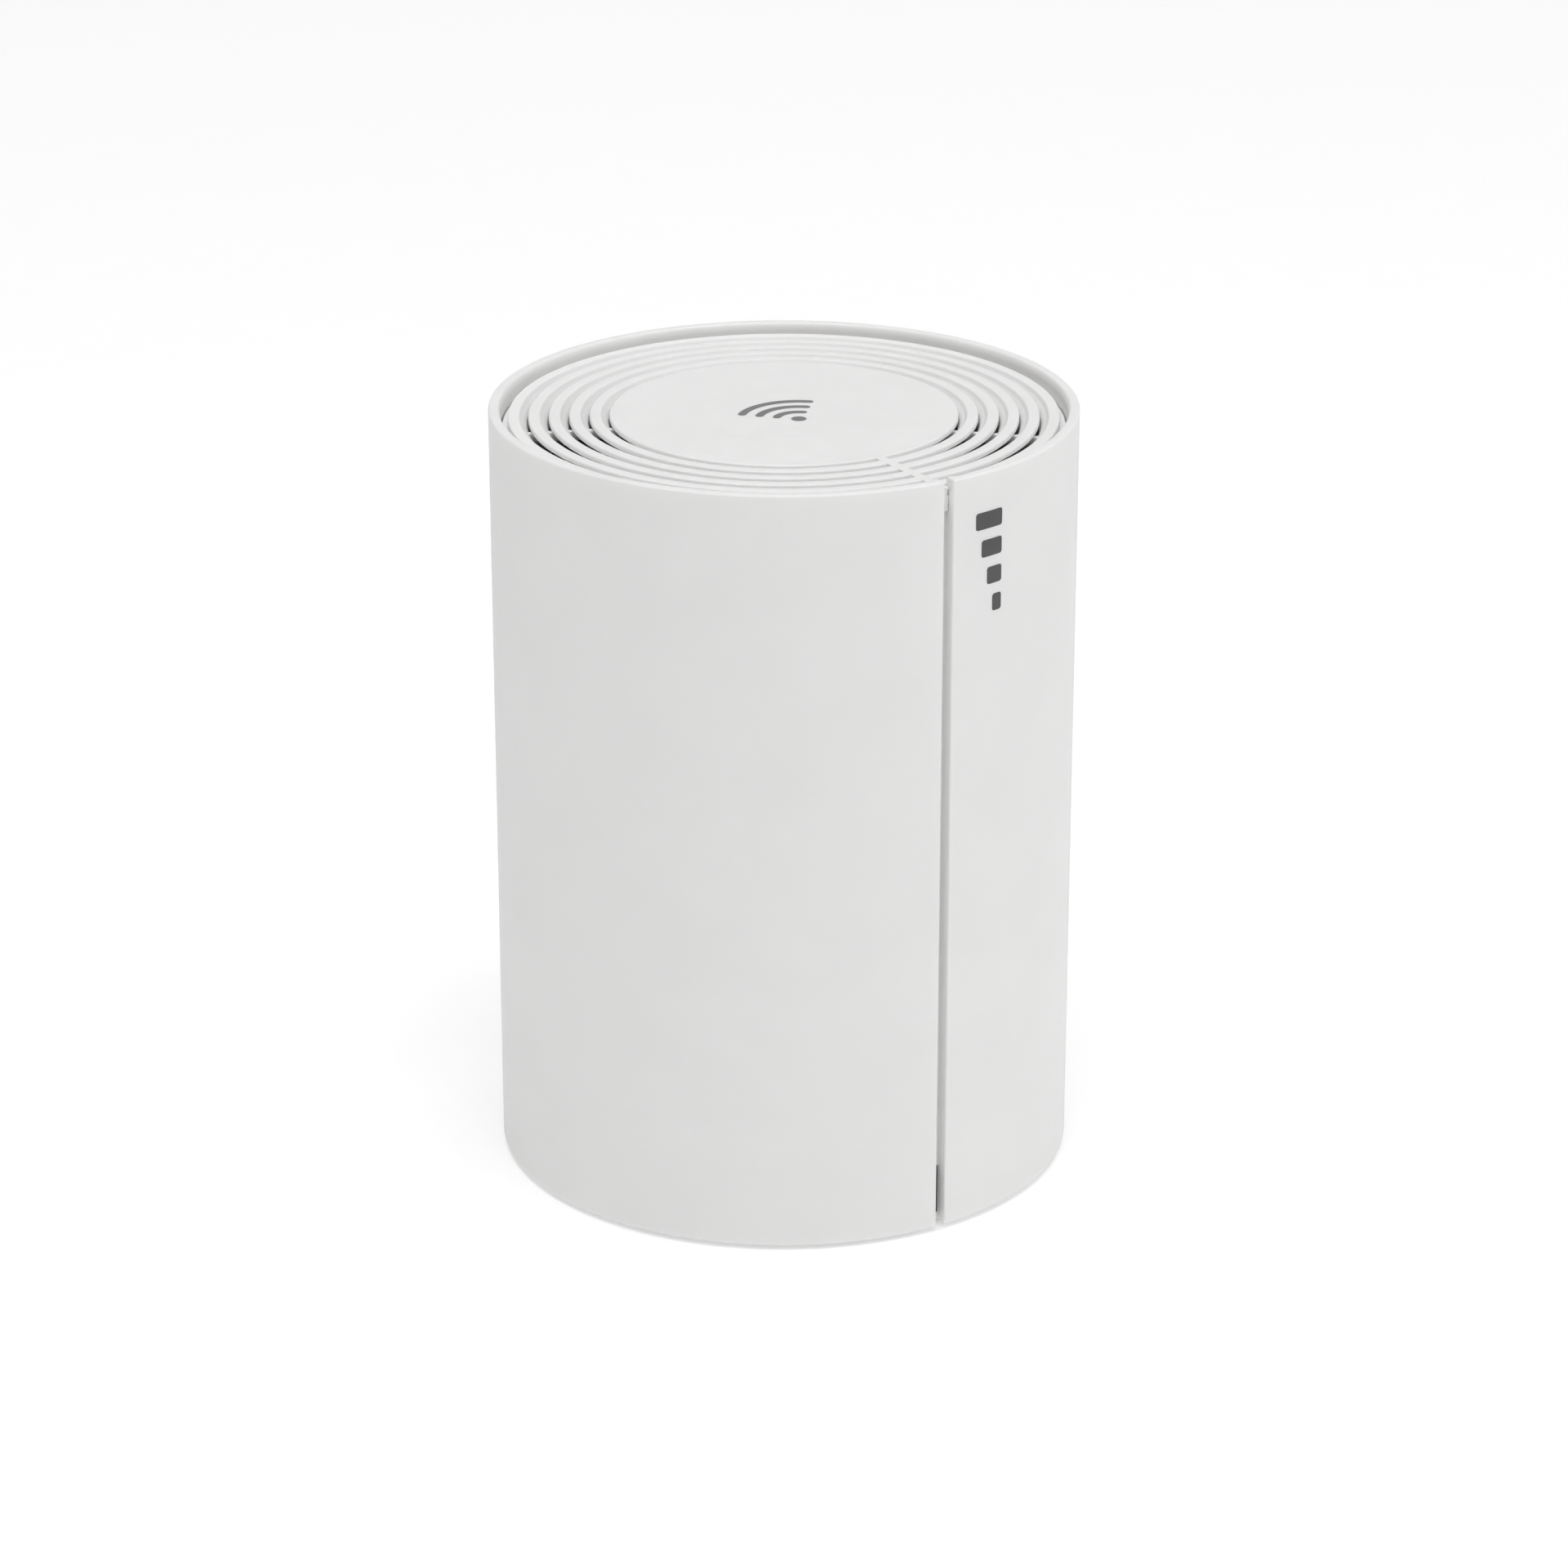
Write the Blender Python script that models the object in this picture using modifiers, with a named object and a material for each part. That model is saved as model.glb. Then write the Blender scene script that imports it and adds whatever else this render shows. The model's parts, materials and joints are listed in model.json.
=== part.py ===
"""A cylindrical wireless router, built as the separate pieces it comes apart into.

Metres, +Z up. The origin is the centre of the foot's underside. The light slit
in the shell faces -Y and the port bay faces +Y. The main board stands upright
in a plane across X.
"""

import math

import bmesh
import bpy
from mathutils import Matrix, Vector

MM = 0.001
GAP = 0.3 * MM
SHARP = math.radians(35)

# Shell
BODY_RADIUS = 52.5 * MM
BODY_HEIGHT = 140.5 * MM
FOOT_LIFT = 0.8 * MM
WALL = 2.1 * MM
EDGE = 0.4 * MM
SHELL_STEPS = 96

# Light slit
SLIT_WIDTH = 1.8 * MM
SLIT_DEPTH = 2.3 * MM
CHANNEL_WALL = 1.5 * MM
WINDOW_START = 1.6 * MM
WINDOW_HEIGHT = 9.3 * MM

# Top grille
CAP_RECESS = 1.6 * MM
DISC_RADIUS = 31.0 * MM
RING_START = 32.55 * MM
RING_PITCH = 3.63 * MM
RING_WIDTH = 1.98 * MM
RING_COUNT = 5
RING_LIP = 0.85 * MM
LOUVRE_DEPTH = 2.6 * MM
LOUVRE_REACH = 1.72 * MM
LOUVRE_KNEE = (0.9 * MM, 1.4 * MM)
FLANGE_DROP = 1.9 * MM
GRILLE_DEPTH = 3.1 * MM
RIB_COUNT = 16
RIB_WIDTH = 1.2 * MM
RIB_DROP = 1.45 * MM
KEY_LENGTH = 6.0 * MM
KEY_PROUD = 0.8 * MM
CLIP_COUNT = 3
GRILLE_STEPS = 48

# Base
BASE_LOW = 1.3 * MM
BASE_THICKNESS = 2.8 * MM
FOOT_INNER = 40.0 * MM
FOOT_OUTER = 47.0 * MM
FOOT_HEIGHT = 1.7 * MM
BASE_SCREW_RADIUS = 34.0 * MM
BASE_SCREW_ANGLES = (90, 210, 330)
LABEL_RADIUS = 22.0 * MM

# Port bay, with heights measured from the table
BAY_CENTRE = 59.8 * MM
BAY_WIDTH = 22.4 * MM
BAY_HEIGHT = 90.0 * MM
BAY_CORNER = 5.0 * MM
BAY_WALL = 1.4 * MM
BAY_FLOOR = 46.1 * MM
BAY_FLOOR_THICKNESS = 1.6 * MM
POWER_HEIGHT = 24.8 * MM
POWER_COLLAR = 4.0 * MM
JACK_HEIGHTS = {"wan": 42.0 * MM, "lan1": 59.5 * MM, "lan2": 77.0 * MM}
PAIR_HEIGHT = 92.5 * MM
RESET_HEIGHT = 100.2 * MM

# Network jack
JACK_WIDTH = 15.9 * MM
JACK_TALL = 13.4 * MM
JACK_FRONT = 46.9 * MM
JACK_DEPTH = 21.0 * MM
JACK_SHEET = 0.4 * MM

# Main board
BOARD_FACE = -7.0 * MM
BOARD_THICKNESS = 1.6 * MM
BOARD_FRONT = -38.0 * MM
BOARD_REAR = 43.0 * MM
BOARD_LOW = 12.0 * MM
BOARD_HIGH = 112.0 * MM
BOARD_SCREWS = (
    (-33.5 * MM, 17.0 * MM),
    (38.0 * MM, 16.5 * MM),
    (-33.5 * MM, 107.0 * MM),
    (38.0 * MM, 107.0 * MM),
)

# Inner frame: an upright plate between a floor and a crown
FRAME_BACK = -13.0 * MM
FRAME_THICKNESS = 2.0 * MM
FRAME_HALF_WIDTH = 40.0 * MM
FLOOR_LOW = 5.7 * MM
FLOOR_HIGH = 8.0 * MM
FLOOR_RADIUS = 43.5 * MM
CROWN_LOW = 124.0 * MM
CROWN_HIGH = 126.5 * MM
CROWN_INNER = 36.0 * MM
CROWN_OUTER = 45.5 * MM
FRAME_SLOTS = (-24.0 * MM, -8.0 * MM, 8.0 * MM, 24.0 * MM)

# Heatsink
SINK_LOW = -2.8 * MM
SINK_BASE = 2.0 * MM
SINK_FIN = 12.0 * MM
SINK_FIN_THICKNESS = 1.2 * MM
SINK_FINS = 9
SINK_SCREWS = ((-27.5 * MM, 34.5 * MM), (11.5 * MM, 95.5 * MM))

# Fasteners
SHANK_RADIUS = 1.2 * MM
HEAD_RADIUS = 2.5 * MM
HEAD_HEIGHT = 1.2 * MM
SCREW_HOLE = SHANK_RADIUS + GAP

# Buttons
PAIR_RADIUS = 3.2 * MM
PAIR_PROUD = 0.8 * MM
PAIR_TRAVEL = 0.5 * MM
PINHOLE_RADIUS = 0.9 * MM
RESET_TRAVEL = 0.3 * MM

# Antennas
ANTENNA_ANGLES = (45, 135, 225, 315)
ANTENNA_RADIUS = 43.8 * MM
ANTENNA_LOW = 76.0 * MM
ANTENNA_HIGH = 122.0 * MM
CABLE_RADIUS = 0.6 * MM
PLUG_SPOTS = {45: 16.0 * MM, 135: 4.0 * MM, 225: -8.0 * MM, 315: -20.0 * MM}
PLUG_HEIGHT = 108.5 * MM

# Worked out from the above
RIM = FOOT_LIFT + BODY_HEIGHT
INNER_RADIUS = BODY_RADIUS - WALL
CAP_TOP = RIM - CAP_RECESS
SLIT_FLOOR = -(BODY_RADIUS - SLIT_DEPTH)
CHANNEL_BACK = SLIT_FLOOR + CHANNEL_WALL
KEY_LOW = RIM - KEY_LENGTH
BASE_HIGH = BASE_LOW + BASE_THICKNESS
ON_BOARD = BOARD_FACE + GAP
FRAME_FACE = FRAME_BACK + FRAME_THICKNESS
CHANNEL_HALF = SLIT_WIDTH / 2 + 1.4 * MM


def clear_scene():
    for obj in list(bpy.data.objects):
        bpy.data.objects.remove(obj, do_unlink=True)


def new_collection(name):
    collection = bpy.data.collections.new(name)
    bpy.context.scene.collection.children.link(collection)
    return collection


def make_material(name, colour, roughness, metallic=0.0):
    material = bpy.data.materials.new(name)
    material.use_nodes = True
    shader = material.node_tree.nodes["Principled BSDF"]
    shader.inputs["Base Color"].default_value = (*colour, 1.0)
    shader.inputs["Roughness"].default_value = roughness
    shader.inputs["Metallic"].default_value = metallic
    return material


clear_scene()
PARTS = new_collection("wireless_router")
CUTTERS = new_collection("cutters")

WHITE_ABS = make_material("white_abs", (0.80, 0.80, 0.79), 0.55)
BLACK_ABS = make_material("black_abs", (0.03, 0.03, 0.03), 0.50)
GREY_ABS = make_material("grey_abs", (0.25, 0.25, 0.26), 0.55)
RUBBER = make_material("grey_rubber", (0.30, 0.30, 0.30), 0.85)
PAPER = make_material("label_film", (0.85, 0.85, 0.85), 0.40)
SMOKED = make_material("smoked_polycarbonate", (0.04, 0.04, 0.05), 0.12)
BOARD = make_material("green_fr4", (0.02, 0.14, 0.07), 0.40)
CHIP = make_material("chip_epoxy", (0.02, 0.02, 0.02), 0.45)
PAD = make_material("thermal_silicone", (0.35, 0.42, 0.55), 0.80)
ALUMINIUM = make_material("extruded_aluminium", (0.75, 0.76, 0.77), 0.35, 1.0)
TIN = make_material("tinned_steel", (0.70, 0.70, 0.69), 0.28, 1.0)
STEEL = make_material("zinc_steel", (0.62, 0.63, 0.64), 0.35, 1.0)
GOLD = make_material("gold_plating", (0.83, 0.62, 0.25), 0.25, 1.0)
LED_RESIN = make_material("led_resin", (0.90, 0.88, 0.70), 0.30)
CABLE_BLACK = make_material("cable_jacket", (0.03, 0.03, 0.03), 0.45)


def solid(name, mesh, material=None):
    """Adds an object to the parts. One with no material is a cutter."""
    obj = bpy.data.objects.new(name, mesh)
    if material is None:
        CUTTERS.objects.link(obj)
        obj.hide_render = True
        obj.display_type = "WIRE"
    else:
        mesh.materials.append(material)
        PARTS.objects.link(obj)
    return obj


def from_bmesh(name, bm, material=None):
    mesh = bpy.data.meshes.new(name)
    bm.to_mesh(mesh)
    bm.free()
    mesh.shade_smooth()
    mesh.set_sharp_from_angle(angle=SHARP)
    return solid(name, mesh, material)


def add_box(bm, low, high, turn=0.0, corner=0.0, along=None, segments=3):
    """A box between two corners, turned about Z in degrees, with its edges along one axis rounded."""
    low = Vector(low)
    high = Vector(high)
    made = bmesh.ops.create_cube(bm, size=1.0)["verts"]
    bmesh.ops.scale(bm, vec=high - low, verts=made)
    bmesh.ops.translate(bm, vec=(low + high) / 2, verts=made)
    bmesh.ops.rotate(bm, cent=(0, 0, 0), matrix=Matrix.Rotation(math.radians(turn), 3, "Z"), verts=made)
    if corner:
        edges = {edge for vert in made for edge in vert.link_edges}
        if along is not None:
            edges = [edge for edge in edges if is_along(edge, along)]
        bmesh.ops.bevel(bm, geom=list(edges), offset=corner, segments=segments, profile=0.5, affect="EDGES")


def is_along(edge, axis):
    run = (edge.verts[1].co - edge.verts[0].co).normalized()
    return abs(run["XYZ".index(axis)]) > 0.999


def block(name, low, high, material=None, **shape):
    bm = bmesh.new()
    add_box(bm, low, high, **shape)
    return from_bmesh(name, bm, material)


def blocks(name, corners, material=None, **shape):
    """Several boxes that don't touch, in one object."""
    bm = bmesh.new()
    for low, high in corners:
        add_box(bm, low, high, **shape)
    return from_bmesh(name, bm, material)


def radial_blocks(name, angles, low, high, material=None):
    """The same box at several angles about Z. At angle 0 it lies along -Y."""
    bm = bmesh.new()
    for angle in angles:
        add_box(bm, low, high, turn=angle)
    return from_bmesh(name, bm, material)


def add_bar(bm, radius, start, end, sides=16):
    """A round bar between two points."""
    start = Vector(start)
    end = Vector(end)
    axis = end - start
    made = bmesh.ops.create_cone(
        bm, cap_ends=True, segments=sides, radius1=radius, radius2=radius, depth=axis.length
    )["verts"]
    bmesh.ops.rotate(bm, cent=(0, 0, 0), matrix=axis.to_track_quat("Z", "Y").to_matrix(), verts=made)
    bmesh.ops.translate(bm, vec=(start + end) / 2, verts=made)


def bars(name, radius, runs, material=None, sides=16):
    bm = bmesh.new()
    for start, end in runs:
        add_bar(bm, radius, start, end, sides)
    return from_bmesh(name, bm, material)


def turned(name, outlines, steps, material=None):
    """Solids of revolution about Z. Each outline of (radius, height) runs down its outer side
    first. One that starts and ends on the axis is left open there."""
    bm = bmesh.new()
    for outline in outlines:
        verts = [bm.verts.new((radius, 0.0, height)) for radius, height in outline]
        for first, second in zip(verts, verts[1:]):
            bm.edges.new((first, second))
        if outline[0][0] > 0.0:
            bm.edges.new((verts[-1], verts[0]))
    mesh = bpy.data.meshes.new(name)
    bm.to_mesh(mesh)
    bm.free()
    obj = solid(name, mesh, material)
    screw = obj.modifiers.new("turn", "SCREW")
    screw.axis = "Z"
    screw.angle = math.tau
    screw.steps = steps
    screw.render_steps = steps
    screw.use_merge_vertices = True
    screw.merge_threshold = 0.00001
    screw.use_smooth_shade = False
    return obj


def ring_outline(inner, outer, low, high, edge=0.0):
    """A rectangle with its two outer edges chamfered."""
    if not edge:
        return [(outer, high), (outer, low), (inner, low), (inner, high)]
    return [
        (outer - edge, high),
        (outer, high - edge),
        (outer, low + edge),
        (outer - edge, low),
        (inner, low),
        (inner, high),
    ]


def boolean(target, operation, *others):
    for other in others:
        modifier = target.modifiers.new(other.name, "BOOLEAN")
        modifier.operation = operation
        modifier.solver = "EXACT"
        modifier.object = other


def cut(target, *others):
    boolean(target, "DIFFERENCE", *others)


def join(target, *others):
    boolean(target, "UNION", *others)


def settle(obj):
    """Turns an object's evaluated shape into its mesh, shaded smooth between its sharp edges."""
    bpy.context.view_layer.update()
    evaluated = obj.evaluated_get(bpy.context.evaluated_depsgraph_get())
    mesh = bpy.data.meshes.new_from_object(evaluated)
    bm = bmesh.new()
    bm.from_mesh(mesh)
    bmesh.ops.remove_doubles(bm, verts=bm.verts, dist=0.000001)
    bm.to_mesh(mesh)
    bm.free()
    mesh.shade_smooth()
    mesh.set_sharp_from_angle(angle=SHARP)
    name = obj.name
    place = obj.matrix_world.copy()
    group = obj.users_collection[0]
    bpy.data.objects.remove(obj, do_unlink=True)
    plain = bpy.data.objects.new(name, mesh)
    plain.matrix_world = place
    group.objects.link(plain)
    if group == CUTTERS:
        plain.hide_render = True
        plain.display_type = "WIRE"
    return plain


def copy_to(source, name, location, turn=(0.0, 0.0, 0.0)):
    """Another object with the same mesh."""
    obj = bpy.data.objects.new(name, source.data)
    obj.location = location
    obj.rotation_euler = turn
    PARTS.objects.link(obj)
    return obj


def cable(name, points, radius, material):
    """A round wire on a smooth curve through its points, with closed ends."""
    data = bpy.data.curves.new(name, "CURVE")
    data.dimensions = "3D"
    data.bevel_depth = radius
    data.bevel_resolution = 1
    data.use_fill_caps = True
    data.resolution_u = 4
    spline = data.splines.new("BEZIER")
    spline.bezier_points.add(len(points) - 1)
    for knot, point in zip(spline.bezier_points, points):
        knot.co = point
        knot.handle_left_type = "AUTO"
        knot.handle_right_type = "AUTO"
    data.materials.append(material)
    obj = bpy.data.objects.new(name, data)
    PARTS.objects.link(obj)
    return obj


# Casing


def make_shell():
    tube = ring_outline(INNER_RADIUS, BODY_RADIUS, FOOT_LIFT, RIM, EDGE)
    shell = turned("outer_shell", [tube], SHELL_STEPS, WHITE_ABS)
    channel = block(
        "channel_block",
        (-CHANNEL_HALF, -INNER_RADIUS - 0.8 * MM, FOOT_LIFT + EDGE),
        (CHANNEL_HALF, CHANNEL_BACK, KEY_LOW - GAP),
    )
    slit = block(
        "slit_cutter",
        (-SLIT_WIDTH / 2, -BODY_RADIUS - 5 * MM, -5 * MM),
        (SLIT_WIDTH / 2, SLIT_FLOOR, RIM + 5 * MM),
    )
    window = block(
        "window_cutter",
        (-SLIT_WIDTH / 2, SLIT_FLOOR - 1 * MM, FOOT_LIFT + WINDOW_START),
        (SLIT_WIDTH / 2, CHANNEL_BACK + 1 * MM, FOOT_LIFT + WINDOW_START + WINDOW_HEIGHT),
    )
    bay = block(
        "bay_cutter",
        (-BAY_WIDTH / 2 - GAP, BAY_FLOOR, BAY_CENTRE - BAY_HEIGHT / 2 - GAP),
        (BAY_WIDTH / 2 + GAP, BODY_RADIUS + 5 * MM, BAY_CENTRE + BAY_HEIGHT / 2 + GAP),
        corner=BAY_CORNER + GAP,
        along="Y",
        segments=5,
    )
    join(shell, channel)
    cut(shell, slit, window, bay)


def ring_section(index):
    """One louvred ring: a flat top, a short outer lip and a slope that leans in under the gap."""
    inner = RING_START + index * RING_PITCH
    outer = inner + RING_WIDTH
    return [
        (outer, CAP_TOP),
        (outer, CAP_TOP - RING_LIP),
        (inner - 0.5 * MM, CAP_TOP - LOUVRE_DEPTH),
        (inner - LOUVRE_REACH, CAP_TOP - LOUVRE_DEPTH),
        louvre_knee(inner),
        (inner, CAP_TOP),
    ]


def rim_section():
    """The outermost ring, with the flange that fills the shell below it."""
    inner = RING_START + (RING_COUNT - 1) * RING_PITCH
    outer = inner + RING_WIDTH
    flange = INNER_RADIUS - GAP
    bottom = CAP_TOP - GRILLE_DEPTH
    return [
        (outer, CAP_TOP),
        (outer, CAP_TOP - FLANGE_DROP),
        (flange, CAP_TOP - FLANGE_DROP),
        (flange, bottom),
        (inner - LOUVRE_REACH, bottom),
        (inner - LOUVRE_REACH, CAP_TOP - LOUVRE_DEPTH),
        louvre_knee(inner),
        (inner, CAP_TOP),
    ]


def louvre_knee(inner):
    """Where a louvre's slope turns shallower."""
    run, drop = LOUVRE_KNEE
    return (inner - run, CAP_TOP - drop)


def make_grille():
    disc = [
        (0.0, CAP_TOP),
        (DISC_RADIUS, CAP_TOP),
        (DISC_RADIUS, CAP_TOP - RING_LIP),
        (DISC_RADIUS - 1.2 * MM, CAP_TOP - 1.8 * MM),
        (0.0, CAP_TOP - 1.8 * MM),
    ]
    rings = [ring_section(index) for index in range(RING_COUNT - 1)]
    grille = turned("top_grille", [disc, *rings, rim_section()], GRILLE_STEPS, WHITE_ABS)
    bottom = CAP_TOP - GRILLE_DEPTH
    spacing = 360 / RIB_COUNT
    ribs = radial_blocks(
        "grille_ribs",
        [spacing * index for index in range(1, RIB_COUNT)],
        (-RIB_WIDTH / 2, -INNER_RADIUS + 1.5 * MM, bottom),
        (RIB_WIDTH / 2, -DISC_RADIUS + 2.5 * MM, CAP_TOP - RIB_DROP),
    )
    spoke = block(
        "grille_spoke",
        (-SLIT_WIDTH / 2, SLIT_FLOOR - KEY_PROUD, bottom),
        (SLIT_WIDTH / 2, -DISC_RADIUS + 2.5 * MM, CAP_TOP),
    )
    key = block(
        "grille_key",
        (-SLIT_WIDTH / 2, SLIT_FLOOR - KEY_PROUD, KEY_LOW),
        (SLIT_WIDTH / 2, CHANNEL_BACK, bottom + 1 * MM),
    )
    clips = radial_blocks(
        "grille_clips",
        [60 + 360 / CLIP_COUNT * index + spacing / 2 for index in range(CLIP_COUNT)],
        (-3.5 * MM, -48.7 * MM, bottom - 8 * MM),
        (3.5 * MM, -47.1 * MM, bottom + 0.8 * MM),
    )
    join(grille, ribs, spoke, key, clips)


def base_screw_spots():
    for angle in BASE_SCREW_ANGLES:
        turn = math.radians(angle)
        yield BASE_SCREW_RADIUS * math.cos(turn), BASE_SCREW_RADIUS * math.sin(turn)


def make_base():
    radius = INNER_RADIUS - GAP
    groove = BASE_LOW + 0.7 * MM
    outline = [
        (0.0, BASE_HIGH),
        (radius - EDGE, BASE_HIGH),
        (radius, BASE_HIGH - EDGE),
        (radius, BASE_LOW),
        (FOOT_OUTER + GAP, BASE_LOW),
        (FOOT_OUTER + GAP, groove),
        (FOOT_INNER - GAP, groove),
        (FOOT_INNER - GAP, BASE_LOW),
        (0.0, BASE_LOW),
    ]
    base = turned("base_cover", [outline], GRILLE_STEPS, WHITE_ABS)
    notch = block(
        "base_notch",
        (-CHANNEL_HALF - GAP, -BODY_RADIUS, -1 * MM),
        (CHANNEL_HALF + GAP, -46.6 * MM, BASE_HIGH + 1 * MM),
    )
    vents = radial_blocks(
        "base_vents",
        [angle for angle in range(0, 360, 20) if angle % 120 != 60],
        (-1.0 * MM, -36.5 * MM, -1 * MM),
        (1.0 * MM, -24.5 * MM, BASE_HIGH + 1 * MM),
    )
    holes = bars(
        "base_screw_holes",
        SCREW_HOLE,
        [((x, y, -1 * MM), (x, y, BASE_HIGH + 1 * MM)) for x, y in base_screw_spots()],
    )
    pockets = bars(
        "base_screw_pockets",
        HEAD_RADIUS + GAP,
        [((x, y, -1 * MM), (x, y, BASE_LOW + HEAD_HEIGHT + GAP)) for x, y in base_screw_spots()],
    )
    cut(base, notch, vents, holes, pockets)

    foot = ring_outline(FOOT_INNER, FOOT_OUTER, 0.0, FOOT_HEIGHT, 0.3 * MM)
    turned("foot_ring", [foot], GRILLE_STEPS, RUBBER)
    label_top = BASE_LOW - GAP
    label_low = label_top - 0.2 * MM
    label = [(0.0, label_top), (LABEL_RADIUS, label_top), (LABEL_RADIUS, label_low), (0.0, label_low)]
    turned("rating_label", [label], 32, PAPER)


def make_bezel():
    floor_back = BAY_FLOOR - BAY_FLOOR_THICKNESS
    half_x = BAY_WIDTH / 2
    half_z = BAY_HEIGHT / 2
    bezel = block(
        "port_bezel",
        (-half_x, floor_back, BAY_CENTRE - half_z),
        (half_x, BODY_RADIUS + 1 * MM, BAY_CENTRE + half_z),
        GREY_ABS,
        corner=BAY_CORNER,
        along="Y",
        segments=5,
    )
    flange = block(
        "bezel_flange",
        (-half_x - 1.8 * MM, floor_back, BAY_CENTRE - half_z - 1.8 * MM),
        (half_x + 1.8 * MM, floor_back + 1.2 * MM, BAY_CENTRE + half_z + 1.8 * MM),
        corner=BAY_CORNER,
        along="Y",
        segments=5,
    )
    pocket = block(
        "bezel_pocket",
        (-half_x + BAY_WALL, BAY_FLOOR, BAY_CENTRE - half_z + BAY_WALL),
        (half_x - BAY_WALL, BODY_RADIUS + 5 * MM, BAY_CENTRE + half_z - BAY_WALL),
        corner=BAY_CORNER - BAY_WALL,
        along="Y",
        segments=5,
    )
    face = turned(
        "bezel_face",
        [[(0.0, RIM), (BODY_RADIUS - GAP, RIM), (BODY_RADIUS - GAP, 0.0), (0.0, 0.0)]],
        SHELL_STEPS,
    )
    jack_holes = blocks(
        "bezel_jack_holes",
        [
            (
                (-JACK_TALL / 2 - GAP, floor_back - 1 * MM, height - JACK_WIDTH / 2 - GAP),
                (JACK_TALL / 2 + GAP, BAY_FLOOR + 1 * MM, height + JACK_WIDTH / 2 + GAP),
            )
            for height in JACK_HEIGHTS.values()
        ],
    )
    round_holes = [
        floor_hole("bezel_power_hole", POWER_COLLAR + GAP, POWER_HEIGHT, 24),
        floor_hole("bezel_pair_hole", PAIR_RADIUS + GAP, PAIR_HEIGHT, 24),
        floor_hole("bezel_pinhole", PINHOLE_RADIUS, RESET_HEIGHT, 12),
    ]
    join(bezel, flange)
    cut(bezel, pocket)
    boolean(bezel, "INTERSECT", face)
    cut(bezel, jack_holes, *round_holes)


def floor_hole(name, radius, height, sides):
    """A drill through the bay's floor."""
    start = (0, BAY_FLOOR - BAY_FLOOR_THICKNESS - 1 * MM, height)
    return bars(name, radius, [(start, (0, BAY_FLOOR + 1 * MM, height))], sides=sides)


# Inner frame and main board


def antenna_place(angle, radius, height=0.0):
    turn = math.radians(angle)
    return Vector((radius * math.cos(turn), radius * math.sin(turn), height))


def make_frame():
    plate = block(
        "inner_frame",
        (FRAME_BACK, -FRAME_HALF_WIDTH, FLOOR_HIGH + GAP),
        (FRAME_FACE, FRAME_HALF_WIDTH, CROWN_LOW - GAP),
        BLACK_ABS,
    )
    standoffs = bars(
        "frame_standoffs",
        3.0 * MM,
        [((FRAME_FACE - 1 * MM, y, z), (BOARD_FACE - BOARD_THICKNESS - GAP, y, z)) for y, z in BOARD_SCREWS],
    )
    before = FRAME_BACK - 1 * MM
    behind = FRAME_FACE + 1 * MM
    windows = blocks(
        "frame_windows",
        [((before, y - 6 * MM, 26 * MM), (behind, y + 6 * MM, 98 * MM)) for y in FRAME_SLOTS]
        + [((before, -30 * MM, 114.5 * MM), (behind, 30 * MM, CROWN_HIGH))],
    )
    standoff_holes = bars(
        "frame_standoff_holes",
        SCREW_HOLE,
        [((FRAME_BACK - 1 * MM, y, z), (BOARD_FACE, y, z)) for y, z in BOARD_SCREWS],
        sides=12,
    )
    join(plate, standoffs)
    cut(plate, windows, standoff_holes)

    floor = turned(
        "frame_floor",
        [[(0.0, FLOOR_HIGH), (FLOOR_RADIUS, FLOOR_HIGH), (FLOOR_RADIUS, FLOOR_LOW), (0.0, FLOOR_LOW)]],
        GRILLE_STEPS,
        BLACK_ABS,
    )
    bosses = bars(
        "floor_bosses",
        3.5 * MM,
        [((x, y, BASE_HIGH + GAP), (x, y, FLOOR_HIGH - 1 * MM)) for x, y in base_screw_spots()],
    )
    slots = blocks(
        "floor_slots",
        [((-9 * MM, y - 4 * MM, 0.0), (28 * MM, y + 4 * MM, FLOOR_HIGH + 1 * MM)) for y in FRAME_SLOTS],
    )
    boss_holes = bars(
        "floor_boss_holes",
        SCREW_HOLE,
        [((x, y, 0.0), (x, y, FLOOR_HIGH + 1 * MM)) for x, y in base_screw_spots()],
        sides=12,
    )
    join(floor, bosses)
    cut(floor, slots, boss_holes)

    crown = turned(
        "frame_crown",
        [ring_outline(CROWN_INNER, CROWN_OUTER, CROWN_LOW, CROWN_HIGH)],
        GRILLE_STEPS,
        BLACK_ABS,
    )
    brackets = radial_blocks(
        "crown_brackets",
        [angle + 90 for angle in ANTENNA_ANGLES],
        (-4.0 * MM, -43.1 * MM, 100.0 * MM),
        (4.0 * MM, -41.5 * MM, CROWN_HIGH - 1 * MM),
    )
    join(crown, brackets)


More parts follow.
